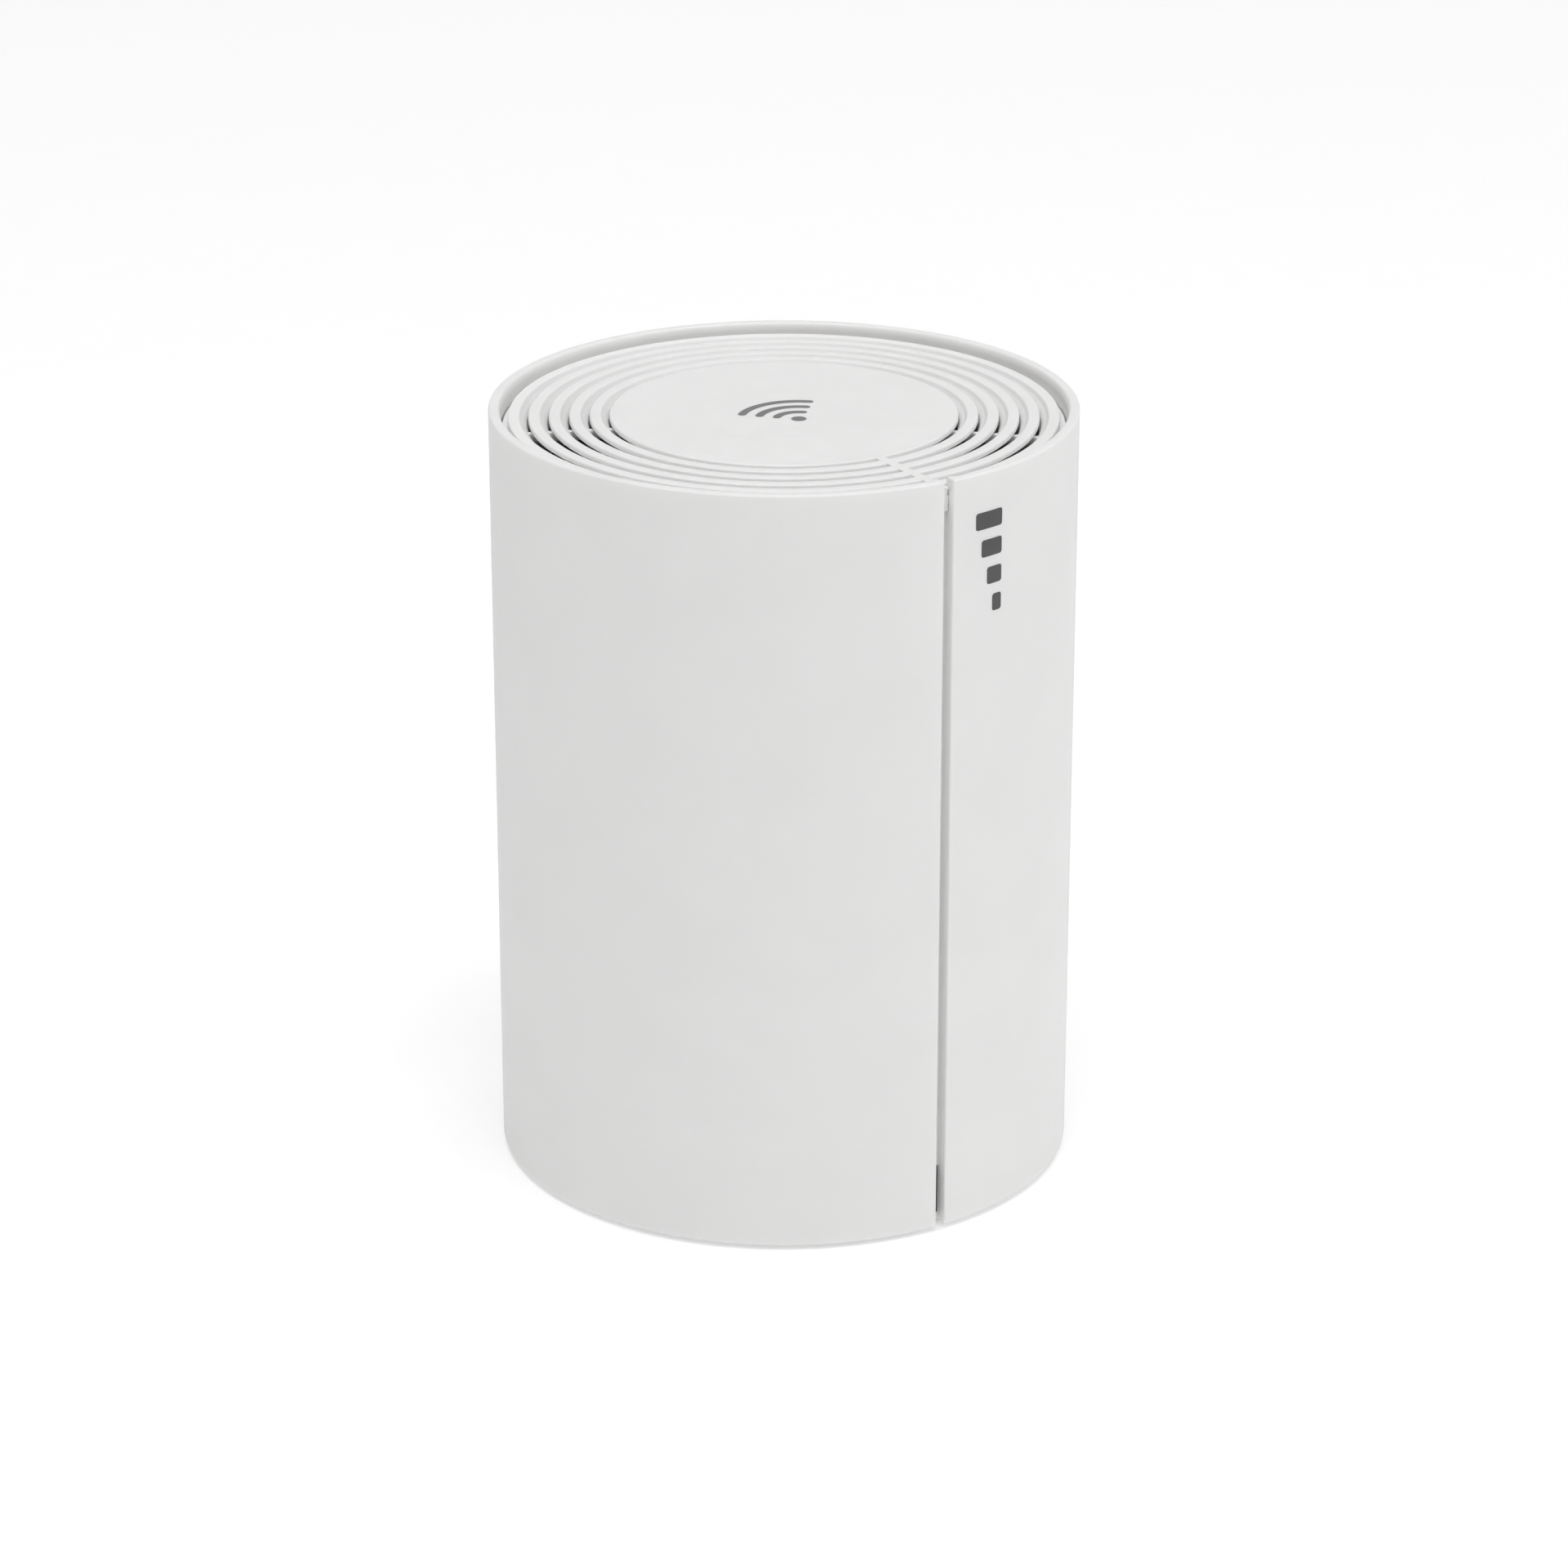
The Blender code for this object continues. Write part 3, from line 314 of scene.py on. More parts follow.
def piece(obj, slot, *nodes, body="body", material=None):
    """Finishes a piece: smooth shading between sharp edges, material, body and what it replaces."""
    mesh = obj.data
    mesh.materials.clear()
    mesh.materials.append(material or MATERIALS[slot])
    mesh.shade_smooth()
    mesh.set_sharp_from_angle(angle=SHARP)
    weighted = obj.modifiers.new("weighted_normals", "WEIGHTED_NORMAL")
    weighted.keep_sharp = True
    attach(obj, body)
    if nodes:
        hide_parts(*nodes)


# Materials


def node(tree, kind, **values):
    made = tree.nodes.new(kind)
    for key, value in values.items():
        if key in made.inputs:
            made.inputs[key].default_value = value
        else:
            setattr(made, key, value)
    return made


def noise(tree, size, detail=2.0, stretch=None):
    """A noise whose features are about this size in metres."""
    coords = node(tree, "ShaderNodeTexCoord").outputs["Object"]
    if stretch is not None:
        mapping = node(tree, "ShaderNodeMapping", Scale=stretch)
        tree.links.new(coords, mapping.inputs["Vector"])
        coords = mapping.outputs["Vector"]
    texture = node(tree, "ShaderNodeTexNoise", Scale=1.0 / size, Detail=detail)
    tree.links.new(coords, texture.inputs["Vector"])
    return texture.outputs["Fac"]


def ranged(tree, source, low, high, start=0.35, end=0.65):
    """The source's range from start to end, spread from low to high."""
    spread = tree.nodes.new("ShaderNodeMapRange")
    for socket, value in zip(("From Min", "From Max", "To Min", "To Max"), (start, end, low, high)):
        spread.inputs[socket].default_value = value
    tree.links.new(source, spread.inputs["Value"])
    return spread.outputs["Result"]


def mixed(tree, share, first, second):
    """A colour between two, each a colour or a socket."""
    mix = tree.nodes.new("ShaderNodeMix")
    mix.data_type = "RGBA"
    tree.links.new(share, mix.inputs["Factor"])
    for socket, colour in zip((mix.inputs[6], mix.inputs[7]), (first, second)):
        if isinstance(colour, tuple):
            socket.default_value = (*colour, 1.0)
        else:
            tree.links.new(colour, socket)
    return mix.outputs[2]


def scaled(colour, factor):
    return tuple(min(1.0, channel * factor) for channel in colour)


COAT_ROUGHNESS = 0.12
GLOW_SHARE = 0.4
GLOW_COLOUR = (1.0, 0.97, 0.93)


def make_material(
    name,
    colour,
    roughness,
    metallic=0.0,
    grain=0.15 * MM,
    relief=0.004 * MM,
    mottle=0.015,
    mottle_size=14 * MM,
    spread=0.05,
    stretch=None,
    wear=0.0,
    coat=0.0,
    glow_depth=0.0,
    pattern=None,
):
    """Moulded, rolled or printed stuff: fine relief, slow changes of colour and gloss, lighter
    edges where it wears, and light that goes glow_depth into it."""
    material = bpy.data.materials.new(name)
    material.use_nodes = True
    tree = material.node_tree
    shader = tree.nodes["Principled BSDF"]
    shader.inputs["Metallic"].default_value = metallic
    shader.inputs["Coat Weight"].default_value = coat
    shader.inputs["Coat Roughness"].default_value = COAT_ROUGHNESS
    shader.inputs["Subsurface Weight"].default_value = GLOW_SHARE if glow_depth else 0.0
    shader.inputs["Subsurface Radius"].default_value = GLOW_COLOUR
    shader.inputs["Subsurface Scale"].default_value = glow_depth
    shade = mixed(
        tree,
        ranged(tree, noise(tree, mottle_size, 3.0), 0.0, 1.0),
        scaled(colour, 1.0 - mottle),
        scaled(colour, 1.0 + mottle),
    )
    if pattern is not None:
        shade = pattern(tree, shade, colour)
    if wear:
        geometry = node(tree, "ShaderNodeNewGeometry")
        edges = ranged(tree, geometry.outputs["Pointiness"], 0.0, wear, 0.52, 0.60)
        shade = mixed(tree, edges, shade, scaled(colour, 1.6))
    tree.links.new(shade, shader.inputs["Base Color"])
    gloss = ranged(tree, noise(tree, mottle_size / 4, 2.0, stretch), roughness - spread, roughness + spread)
    tree.links.new(gloss, shader.inputs["Roughness"])
    bump = node(tree, "ShaderNodeBump", Strength=1.0, Distance=relief)
    tree.links.new(noise(tree, grain, 3.0, stretch), bump.inputs["Height"])
    tree.links.new(bump.outputs["Normal"], shader.inputs["Normal"])
    return material


def traces(tree, shade, colour):
    """Copper tracks that show as lighter lines under the solder mask."""
    coords = node(tree, "ShaderNodeTexCoord").outputs["Object"]
    turn = node(tree, "ShaderNodeMapping", Rotation=(0.0, math.radians(90), 0.0))
    tree.links.new(coords, turn.inputs["Vector"])
    brick = node(tree, "ShaderNodeTexBrick", Scale=1.0 / (6 * MM))
    brick.inputs["Mortar Size"].default_value = 0.03
    brick.inputs["Brick Width"].default_value = 0.9
    brick.inputs["Row Height"].default_value = 0.16
    tree.links.new(turn.outputs["Vector"], brick.inputs["Vector"])
    return mixed(tree, brick.outputs["Fac"], shade, scaled(colour, 1.8))


MATERIALS = {
    "white_housing": make_material(
        "white_abs",
        (0.87, 0.868, 0.864),
        0.52,
        grain=0.16 * MM,
        relief=0.0035 * MM,
        mottle=0.008,
        glow_depth=1.2 * MM,
    ),
    "grey_bezel": make_material("grey_abs", (0.115, 0.117, 0.122), 0.50, relief=0.006 * MM, mottle=0.04),
    "foot_rubber": make_material(
        "grey_rubber", (0.17, 0.17, 0.17), 0.82, grain=0.3 * MM, relief=0.02 * MM, mottle=0.10, wear=0.25
    ),
    "label_film": make_material("label_film", (0.70, 0.70, 0.70), 0.36, grain=0.5 * MM, mottle=0.01),
    "frame_black": make_material("black_abs", (0.022, 0.022, 0.023), 0.52, relief=0.006 * MM, mottle=0.08),
    "connector_black": make_material(
        "black_nylon", (0.020, 0.020, 0.021), 0.46, grain=0.1 * MM, mottle=0.10, wear=0.15
    ),
    "plunger_grey": make_material("grey_nylon", (0.20, 0.20, 0.21), 0.45, grain=0.1 * MM, mottle=0.05),
    "light_pipe": make_material(
        "smoked_polycarbonate", (0.012, 0.012, 0.013), 0.22, relief=0.001 * MM, mottle=0.10
    ),
    "circuit_board": make_material(
        "solder_mask", (0.012, 0.085, 0.042), 0.34, relief=0.005 * MM, mottle=0.12, pattern=traces
    ),
    "chip_epoxy": make_material("chip_epoxy", (0.018, 0.018, 0.019), 0.50, grain=0.08 * MM, mottle=0.12),
    "shield_tin": make_material(
        "tin_plate",
        (0.60, 0.60, 0.585),
        0.30,
        1.0,
        grain=0.12 * MM,
        mottle=0.06,
        stretch=(1, 1, 12),
        wear=0.3,
    ),
    "contact_gold": make_material("gold_plate", (0.83, 0.60, 0.24), 0.24, 1.0, grain=0.1 * MM, mottle=0.05),
    "heatsink_aluminium": make_material(
        "extruded_aluminium", (0.70, 0.71, 0.72), 0.36, 1.0, mottle=0.05, stretch=(1, 1, 0.05)
    ),
    "thermal_silicone": make_material(
        "thermal_silicone", (0.26, 0.33, 0.45), 0.80, grain=0.3 * MM, mottle=0.08
    ),
    "screw_steel": make_material("zinc_plate", (0.58, 0.59, 0.61), 0.32, 1.0, mottle=0.06, wear=0.3),
    "cable_jacket": make_material("cable_jacket", (0.022, 0.022, 0.022), 0.44, grain=0.2 * MM, mottle=0.10),
    "led_resin": make_material("led_resin", (0.85, 0.80, 0.55), 0.25, mottle=0.05, coat=0.5),
}
INK = {"grain": 0.08 * MM, "relief": 0.002 * MM}
DARK_INK = make_material("dark_ink", (0.075, 0.075, 0.078), 0.55, mottle=0.06, **INK)
GREY_INK = make_material("grey_ink", (0.225, 0.225, 0.228), 0.50, mottle=0.05, **INK)
PALE_INK = make_material("pale_ink", (0.46, 0.46, 0.47), 0.55, mottle=0.05, **INK)


# Shell


def slit_outline(radius, half, floor, corner, root):
    """A circle with a straight-sided notch at -Y, anticlockwise from above."""
    edge = -math.sqrt(radius**2 - half**2)
    skipped = math.asin(half / radius)
    corners = [(half, floor, root), (half, edge, corner)]
    for step in range(1, SHELL_STEPS):
        turn = -math.pi / 2 + skipped + (FULL_TURN - 2 * skipped) * step / SHELL_STEPS
        corners.append((radius * math.cos(turn), radius * math.sin(turn), 0.0))
    corners += [(-half, edge, corner), (-half, floor, root)]
    return rounded(corners)


def shell_outside(inset):
    """The shell's outer outline, moved into the wall."""
    return slit_outline(
        RADIUS - inset,
        SLIT_HALF + inset,
        SLIT_FLOOR + inset,
        max(SLIT_ROUND - inset, LEAST_ROUND),
        SLIT_ROOT + inset,
    )


def shell_inside(inset):
    """The shell's inner outline with the channel behind the slit, moved into the wall."""
    return slit_outline(
        INNER_RADIUS + inset,
        CHANNEL_HALF - inset,
        CHANNEL_BACK - inset,
        CHANNEL_ROUND + inset,
        max(CHANNEL_ROUND - inset, LEAST_ROUND),
    )


def raised(outline, height):
    return [(point.x, point.y, height) for point in outline]


def make_shell():
    """The tube: up its outside, over the rim and down its inside, then opened for what passes it."""
    rings = [
        raised(shell_outside(inset), SHELL_FOOT + rise) for inset, rise in reversed(edge_arc(RIM_ROUND))
    ]
    low = SHELL_FOOT + RIM_ROUND
    high = RIM - RIM_ROUND
    rings += [
        raised(shell_outside(0.0), low + (high - low) * step / SHELL_LEVELS)
        for step in range(1, SHELL_LEVELS)
    ]
    rings += [raised(shell_outside(inset), RIM - drop) for inset, drop in edge_arc(RIM_ROUND)]
    rings += [
        raised(shell_inside(inset * RIM_INNER_LEAN), RIM - drop)
        for inset, drop in reversed(edge_arc(RIM_INNER_ROUND, 7))
    ]
    rings += [raised(shell_inside(inset), SHELL_FOOT + rise) for inset, rise in edge_arc(FOOT_INNER_ROUND)]
    shell = loft("shell", rings, closed=True)
    above_channel = rounded_box(
        "above_channel",
        (-CHANNEL_HALF - 0.15 * MM, -INNER_RADIUS + 0.12 * MM, KEY_LOW - FIT_GAP),
        (CHANNEL_HALF + 0.15 * MM, CHANNEL_BACK + 2 * MM, RIM + 3 * MM),
        0.02 * MM,
        1,
    )
    window = rounded_box(
        "window",
        (-SLIT_HALF + 0.01 * MM, SLIT_FLOOR - 1 * MM, WINDOW_LOW),
        (SLIT_HALF - 0.01 * MM, CHANNEL_BACK + 1 * MM, WINDOW_HIGH),
        0.05 * MM,
    )
    cut(shell, above_channel, window, bay_cutter())
    piece(shell, "white_housing", "outer_shell")


def on_rear(radius):
    """Puts (u, v) of the bay on a cylinder about Z."""

    def place(u, v, depth):
        return (u, math.sqrt((radius - depth) ** 2 - u**2), BAY_CENTRE + v)

    return place


def bay_cutter():
    """The port bay's opening, with a rounded edge that follows the shell."""
    opening = round_rect(BAY_HALF_X + FIT_GAP, BAY_HALF_Z + FIT_GAP, BAY_CORNER + FIT_GAP)
    place = on_rear(RADIUS)
    flat = [(p.x, BAY_FLOOR, BAY_CENTRE + p.y) for p in opening]
    rings = [flat]
    for grow, depth in edge_arc(0.5 * MM, 5):
        rings.append([place(p.x, p.y, depth - 0.004 * MM) for p in grown(opening, grow)])
    rings.append([place(p.x, p.y, -2 * MM) for p in grown(opening, 0.5 * MM)])
    return loft("bay_cutter", rings)


# Grille


def ring_profile(index):
    """One louvred ring: a flat top, a short outer lip and a slope that leans in under the gap."""
    inner = RING_START + index * RING_PITCH
    outer = inner + RING_WIDTH
    return rounded(
        [
            (outer, CAP_TOP, RING_ROUND),
            (outer, CAP_TOP - RING_LIP, 0.1 * MM),
            (inner - 0.5 * MM, CAP_TOP - LOUVRE_DEPTH, 0.1 * MM),
            (inner - LOUVRE_REACH, CAP_TOP - LOUVRE_DEPTH, 0.05 * MM),
            *louvre_slope(inner),
            (inner, CAP_TOP, RING_ROUND),
        ],
        3,
    )


def rim_profile():
    """The outermost ring, with the flange that fills the shell below it."""
    inner = RING_START + (RING_COUNT - 1) * RING_PITCH
    outer = inner + RING_WIDTH
    flange = INNER_RADIUS - FIT_GAP
    bottom = CAP_TOP - GRILLE_DEPTH
    return rounded(
        [
            (outer, CAP_TOP, RING_ROUND),
            (outer, CAP_TOP - FLANGE_DROP, 0.15 * MM),
            (flange, CAP_TOP - FLANGE_DROP, 0.12 * MM),
            (flange, bottom, 0.1 * MM),
            (inner - LOUVRE_REACH, bottom, 0.1 * MM),
            (inner - LOUVRE_REACH, CAP_TOP - LOUVRE_DEPTH, 0.05 * MM),
            *louvre_slope(inner),
            (inner, CAP_TOP, RING_ROUND),
        ],
        3,
    )


def louvre_slope(inner):
    """The hollow slope under a ring's inner edge, from its foot up."""
    return [(inner - run, CAP_TOP - drop, 0.2 * MM) for run, drop in LOUVRE_SLOPE]


def disc_profile():
    return rounded(
        [
            (0.0, CAP_TOP, 0.0),
            (0.0, CAP_TOP - DISC_DEPTH, 0.0),
            (DISC_RADIUS - 1.2 * MM, CAP_TOP - DISC_DEPTH, 0.1 * MM),
            (DISC_RADIUS, CAP_TOP - RING_LIP, 0.1 * MM),
            (DISC_RADIUS, CAP_TOP, RING_ROUND),
        ],
        3,
    )


def around(angle):
    """A turn about Z in degrees, which takes the slit's side towards +X."""
    return Matrix.Rotation(math.radians(angle), 4, "Z")


def make_grille():
    """Disc and rings over ribs, with the spoke and key at the slit and three clip legs below."""
    profiles = [disc_profile(), *[ring_profile(index) for index in range(RING_COUNT - 1)], rim_profile()]
    rings = merged(
        "grille", [turned(f"ring_{index}", profile, RING_STEPS) for index, profile in enumerate(profiles)]
    )
    bottom = CAP_TOP - GRILLE_DEPTH
    spacing = 360 / RIB_COUNT
    inside = -DISC_RADIUS + 2.5 * MM
    ribs = merged(
        "ribs",
        [
            rounded_box(
                f"rib_{index}",
                (-RIB_WIDTH / 2, -INNER_RADIUS + 1.5 * MM, bottom),
                (RIB_WIDTH / 2, inside, CAP_TOP - RIB_DROP),
                0.12 * MM,
                2,
                around(spacing * index),
            )
            for index in range(1, RIB_COUNT)
        ],
    )
    spoke = rounded_box(
        "spoke", (-SLIT_HALF, KEY_FRONT, bottom), (SLIT_HALF, inside, CAP_TOP), 0.12 * MM, 2
    )
    key = rounded_box(
        "key",
        (-SLIT_HALF + 0.08 * MM, KEY_FRONT, KEY_LOW),
        (SLIT_HALF - 0.08 * MM, CHANNEL_BACK, bottom + 1 * MM),
        0.2 * MM,
    )
    clips = merged(
        "clips",
        [
            rounded_box(
                f"clip_{index}",
                (*CLIP_LOW, bottom - CLIP_LENGTH),
                (*CLIP_HIGH, bottom + 0.8 * MM),
                0.4 * MM,
                3,
                around(60 + spacing / 2 + 360 / CLIP_COUNT * index),
            )
            for index in range(CLIP_COUNT)
        ],
    )
    join(rings, ribs, spoke, key, clips)
    # A small notch in the spoke's end, at the slit's right wall
    relief = rounded_box(
        "relief",
        (SLIT_HALF - 0.3 * MM, KEY_FRONT - 0.5 * MM, CAP_TOP - 1.5 * MM),
        (SLIT_HALF + 0.2 * MM, KEY_FRONT + 2.4 * MM, CAP_TOP - 0.45 * MM),
        0.08 * MM,
    )
    cut(rings, relief)
    piece(rings, "white_housing", "top_grille")


# Base

FOOT_INNER = 40.0 * MM
FOOT_GROOVE = 0.7 * MM
VENT_RADIUS = 30.5 * MM
VENT_STEP = 20
BASE_SCREWS = (1, 2, 3)


def flared(name, outline, face, depth, edge, place):
    """A cutter that goes down from a face, with its mouth eased by a small round. A concave corner
    of the outline needs a radius above that round's."""
    levels = [(outline, -depth)]
    levels += [(grown(outline, grow), -drop) for grow, drop in edge_arc(edge, 3)]
    levels.append((grown(outline, edge), 1 * MM))
    return prism(name, levels, lambda u, v, w: place(u, v, face + w))


def below(turn, reach):
    """Looks up at the base: v runs outwards at an angle, and w down."""
    out = Vector((math.cos(math.radians(turn)), math.sin(math.radians(turn)), 0.0))
    side = Vector((out.y, -out.x, 0.0))

    def place(u, v, w):
        return side * u + out * (reach + v) + Vector((0.0, 0.0, -w))

    return place


def make_base():
    radius = BASE_HIGH.x
    groove = BASE_LOW.z + FOOT_GROOVE
    inner = FOOT_INNER - FIT_GAP
    outer = FOOT_HIGH.x + FIT_GAP
    outline = rounded(
        [
            (0.0, BASE_HIGH.z, 0.0),
            (0.0, BASE_LOW.z, 0.0),
            (inner, BASE_LOW.z, 0.25 * MM),
            (inner, groove, 0.1 * MM),
            (outer, groove, 0.1 * MM),
            (outer, BASE_LOW.z, 0.25 * MM),
            (radius, BASE_LOW.z, 0.5 * MM),
            (radius, BASE_HIGH.z, 0.4 * MM),
        ],
        3,
    )
    base = turned("base", outline, RING_STEPS)
    notch = rounded_box(
        "notch",
        (-CHANNEL_HALF - FIT_GAP, -RADIUS, SHELL_FOOT - 2 * MM),
        (CHANNEL_HALF + FIT_GAP, -46.6 * MM, BASE_HIGH.z + 2 * MM),
        0.3 * MM,
    )
    slot = round_rect(1.0 * MM, 6.0 * MM, 0.98 * MM)
    face = -BASE_LOW.z
    # A vent every 20 degrees, but not where a screw is
    vents = [
        flared(f"vent_{turn}", slot, face, 5 * MM, 0.4 * MM, below(turn - 90, VENT_RADIUS))
        for turn in range(0, 360, VENT_STEP)
        if turn % 120 != 60
    ]
    for number in BASE_SCREWS:
        spot = screw_spot(number)
        turn = math.degrees(math.atan2(spot.y, spot.x))
        reach = spot.length
        pocket = disc(2.8 * MM)
        shank = disc(1.5 * MM)
        place = below(turn, reach)
        vents.append(flared(f"pocket_{number}", pocket, face, 1.5 * MM, 0.3 * MM, place))
        vents.append(flared(f"hole_{number}", shank, face, 5 * MM, 0.1 * MM, place))
    cut(base, notch, *vents)
    piece(base, "white_housing", "base_cover")


def screw_spot(number):
    low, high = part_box(f"base_screw_{number}")
    return ((low + high) / 2).to_2d()


def make_foot():
    """The soft ring, with three shallow grooves in the face it stands on."""
    inner = FOOT_INNER
    outer = FOOT_HIGH.x
    groove = ((0.0, 0.0, 0.1), (0.15, 0.25, 0.05), (0.75, 0.25, 0.05), (0.9, 0.0, 0.1))
    corners = [(inner, FOOT_HIGH.z, 0.15 * MM), (inner, 0.0, 0.4 * MM)]
    for start in (1.4 * MM, 3.1 * MM, 4.8 * MM):
        for along, height, corner in groove:
            corners.append((inner + start + along * MM, height * MM, corner * MM))
    corners += [(outer, 0.0, 0.4 * MM), (outer, FOOT_HIGH.z, 0.15 * MM)]
    piece(turned("foot", rounded(corners, 3), RING_STEPS), "foot_rubber", "foot_ring")


def make_label():
    """A blank film disc with one thin printed ring near its edge."""
    low = LABEL_LOW.z
    high = LABEL_HIGH.z
    radius = LABEL_HIGH.x
    outline = rounded(
        [(0.0, high, 0.0), (0.0, low, 0.0), (radius, low, 0.05 * MM), (radius, high, 0.05 * MM)], 2
    )
    piece(turned("label", outline, LABEL_STEPS), "label_film", "rating_label")
    inner = radius - 1.6 * MM
    outer = radius - 1.3 * MM
    top = low + 0.02 * MM
    face = low - 0.02 * MM
    line = [(inner, top), (inner, face), (outer, face), (outer, top)]
    piece(turned("label_line", line, LABEL_STEPS), None, material=GREY_INK)


def make_base_screws():
    """Pan-head screws with a cross recess, each turned a little differently."""
    head = BASE_LOW.z
    for number in BASE_SCREWS:
        spot = screw_spot(number)
        low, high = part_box(f"base_screw_{number}")
        outline = rounded(
            [
                (0.0, high.z, 0.0),
                (0.0, head, 0.0),
                (1.9 * MM, head, 0.5 * MM),
                (2.5 * MM, head + 0.5 * MM, 0.3 * MM),
                (2.5 * MM, head + 1.2 * MM, 0.08 * MM),
                (1.2 * MM, head + 1.2 * MM, 0.1 * MM),
                (1.2 * MM, high.z - 0.8 * MM, 0.1 * MM),
                (0.6 * MM, high.z, 0.1 * MM),
            ],
            3,
        )
        place = Matrix.Translation((*spot, 0.0))
        screw = turned(f"base_screw_pan_{number}", outline, SCREW_STEPS, place)
        arms = []
        for turn in (0, 90):
            place = Matrix.Translation((*spot, head)) @ around(turn + 25 * number)
            arms.append(cross_arm(f"arm_{turn}", place))
        cut(screw, *arms)
        piece(screw, "screw_steel", f"base_screw_{number}")


def cross_arm(name, place):
    """One tapered arm of a cross recess, going up from a head's face."""
    levels = [
        (round_rect(1.35 * MM, 0.26 * MM, 0.1 * MM, 3), -0.5 * MM),
        (round_rect(1.25 * MM, 0.24 * MM, 0.1 * MM, 3), 0.2 * MM),
        (round_rect(0.5 * MM, 0.16 * MM, 0.1 * MM, 3), 0.8 * MM),
    ]
    arm = prism(name, levels, lambda u, v, w: (u, v, w))
    arm.data.transform(place)
    return arm


# Port bay


def on_bay(height):
    """Puts (u, v) on a plane across the bay about a height, with w outwards."""

    def place(u, v, w):
        return (u, w, height + v)

    return place


def middle(node_name):
    """The middle of a node's box."""
    low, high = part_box(node_name)
    return (low + high) / 2


def make_bezel():
    """The recessed panel: its back flange, the wall that follows the shell, and the bay's floor."""
    outside = round_rect(BAY_HALF_X, BAY_HALF_Z, BAY_CORNER)
    back = BEZEL_LOW.y
    front = RADIUS - 0.3 * MM
    rings = []

    def flat(grow, y):
        rings.append([(p.x, y, BAY_CENTRE + p.y) for p in grown(outside, grow)])

    def curved(grow, depth):
        place = on_rear(front)
        rings.append([place(p.x, p.y, depth) for p in grown(outside, grow)])

    flange_edge = 0.2 * MM
    flange_front = back + 1.2 * MM
    flat(FLANGE_WIDTH - flange_edge, back)
    flat(FLANGE_WIDTH, back + flange_edge)
    flat(FLANGE_WIDTH, flange_front)
    flat(0.0, flange_front)
    edge = 0.45 * MM
    for inset, drop in edge_arc(edge):
        curved(-inset, drop)
    for inset, drop in reversed(edge_arc(edge)):
        curved(inset - BAY_WALL, drop)
    root = 0.9 * MM
    for grow, rise in edge_arc(root):
        flat(-BAY_WALL - grow, BAY_FLOOR + rise)
    bezel = loft("bezel", rings)

    holes = []
    jack_hole = round_rect(7.0 * MM, 8.25 * MM, 0.4 * MM)
    for jack in JACKS:
        spot = on_bay(middle(f"{jack}_jack_shield").z)
        holes.append(flared(f"{jack}_hole", jack_hole, BAY_FLOOR, 4 * MM, 0.35 * MM, spot))
    for name, node_name, radius, edge in (
        ("power_hole", "dc_jack_pin", 4.3 * MM, 0.4 * MM),
        ("pair_hole", "wps_button", 3.45 * MM, 0.35 * MM),
        ("reset_hole", "reset_plunger", 0.9 * MM, 0.45 * MM),
    ):
        spot = on_bay(middle(node_name).z)
        holes.append(flared(name, disc(radius), BAY_FLOOR, 4 * MM, edge, spot))
    cut(bezel, *holes)
    piece(bezel, "grey_bezel", "port_bezel")


def sheet_tray(name, half_u, half_v, corner, sheet, rear, front, place):
    """A box of bent sheet, open at its front."""
    outside = round_rect(half_u, half_v, corner, 4)
    inside = grown(outside, -sheet)
    lip = sheet / 3
    return prism(
        name,
        [
            (grown(outside, -lip), rear),
            (outside, rear + lip),
            (outside, front - lip),
            (grown(outside, -lip), front),
            (grown(outside, lip - sheet), front),
            (inside, front - lip),
            (inside, rear + sheet),
        ],
        place,
    )


# Half of a network socket's outline, stepping in to the latch: (u, v, corner radius) in mm
SOCKET_HALF = (
    (5.0, 6.0, 0.25),
    (-3.0, 6.0, 0.25),
    (-3.0, 3.1, 0.35),
    (-4.6, 3.1, 0.2),
    (-4.6, 1.7, 0.35),
    (-5.5, 1.7, 0.2),
)


def make_jack(jack):
    """A network jack on its side: the latch channel points to -X."""
    low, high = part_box(f"{jack}_jack_shield")
    height = (low.z + high.z) / 2
    place = on_bay(height)
    shield = sheet_tray(
        f"{jack}_shield", high.x, (high.z - low.z) / 2, 0.55 * MM, 0.4 * MM, low.y, high.y, place
    )
    piece(shield, "shield_tin", f"{jack}_jack_shield")

    low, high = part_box(f"{jack}_jack_housing")
    half_u = high.x
    half_v = (high.z - low.z) / 2
    front = high.y
    outside = round_rect(half_u, half_v, 0.35 * MM, 4)
    housing = prism(
        f"{jack}_housing",
        [(outside, low.y), (outside, front - 0.2 * MM), (grown(outside, -0.2 * MM), front)],
        place,
    )
    lower = [(u, -v, corner) for u, v, corner in reversed(SOCKET_HALF)]
    corners = [*lower[-1:], *SOCKET_HALF, *lower[:-1]]
    socket = rounded([(u * MM, v * MM, corner * MM) for u, v, corner in corners], 3)
    cut(housing, flared(f"{jack}_socket", socket, front, 13 * MM, 0.3 * MM, place))
    piece(housing, "connector_black", f"{jack}_jack_housing")
    make_contacts(jack, height)


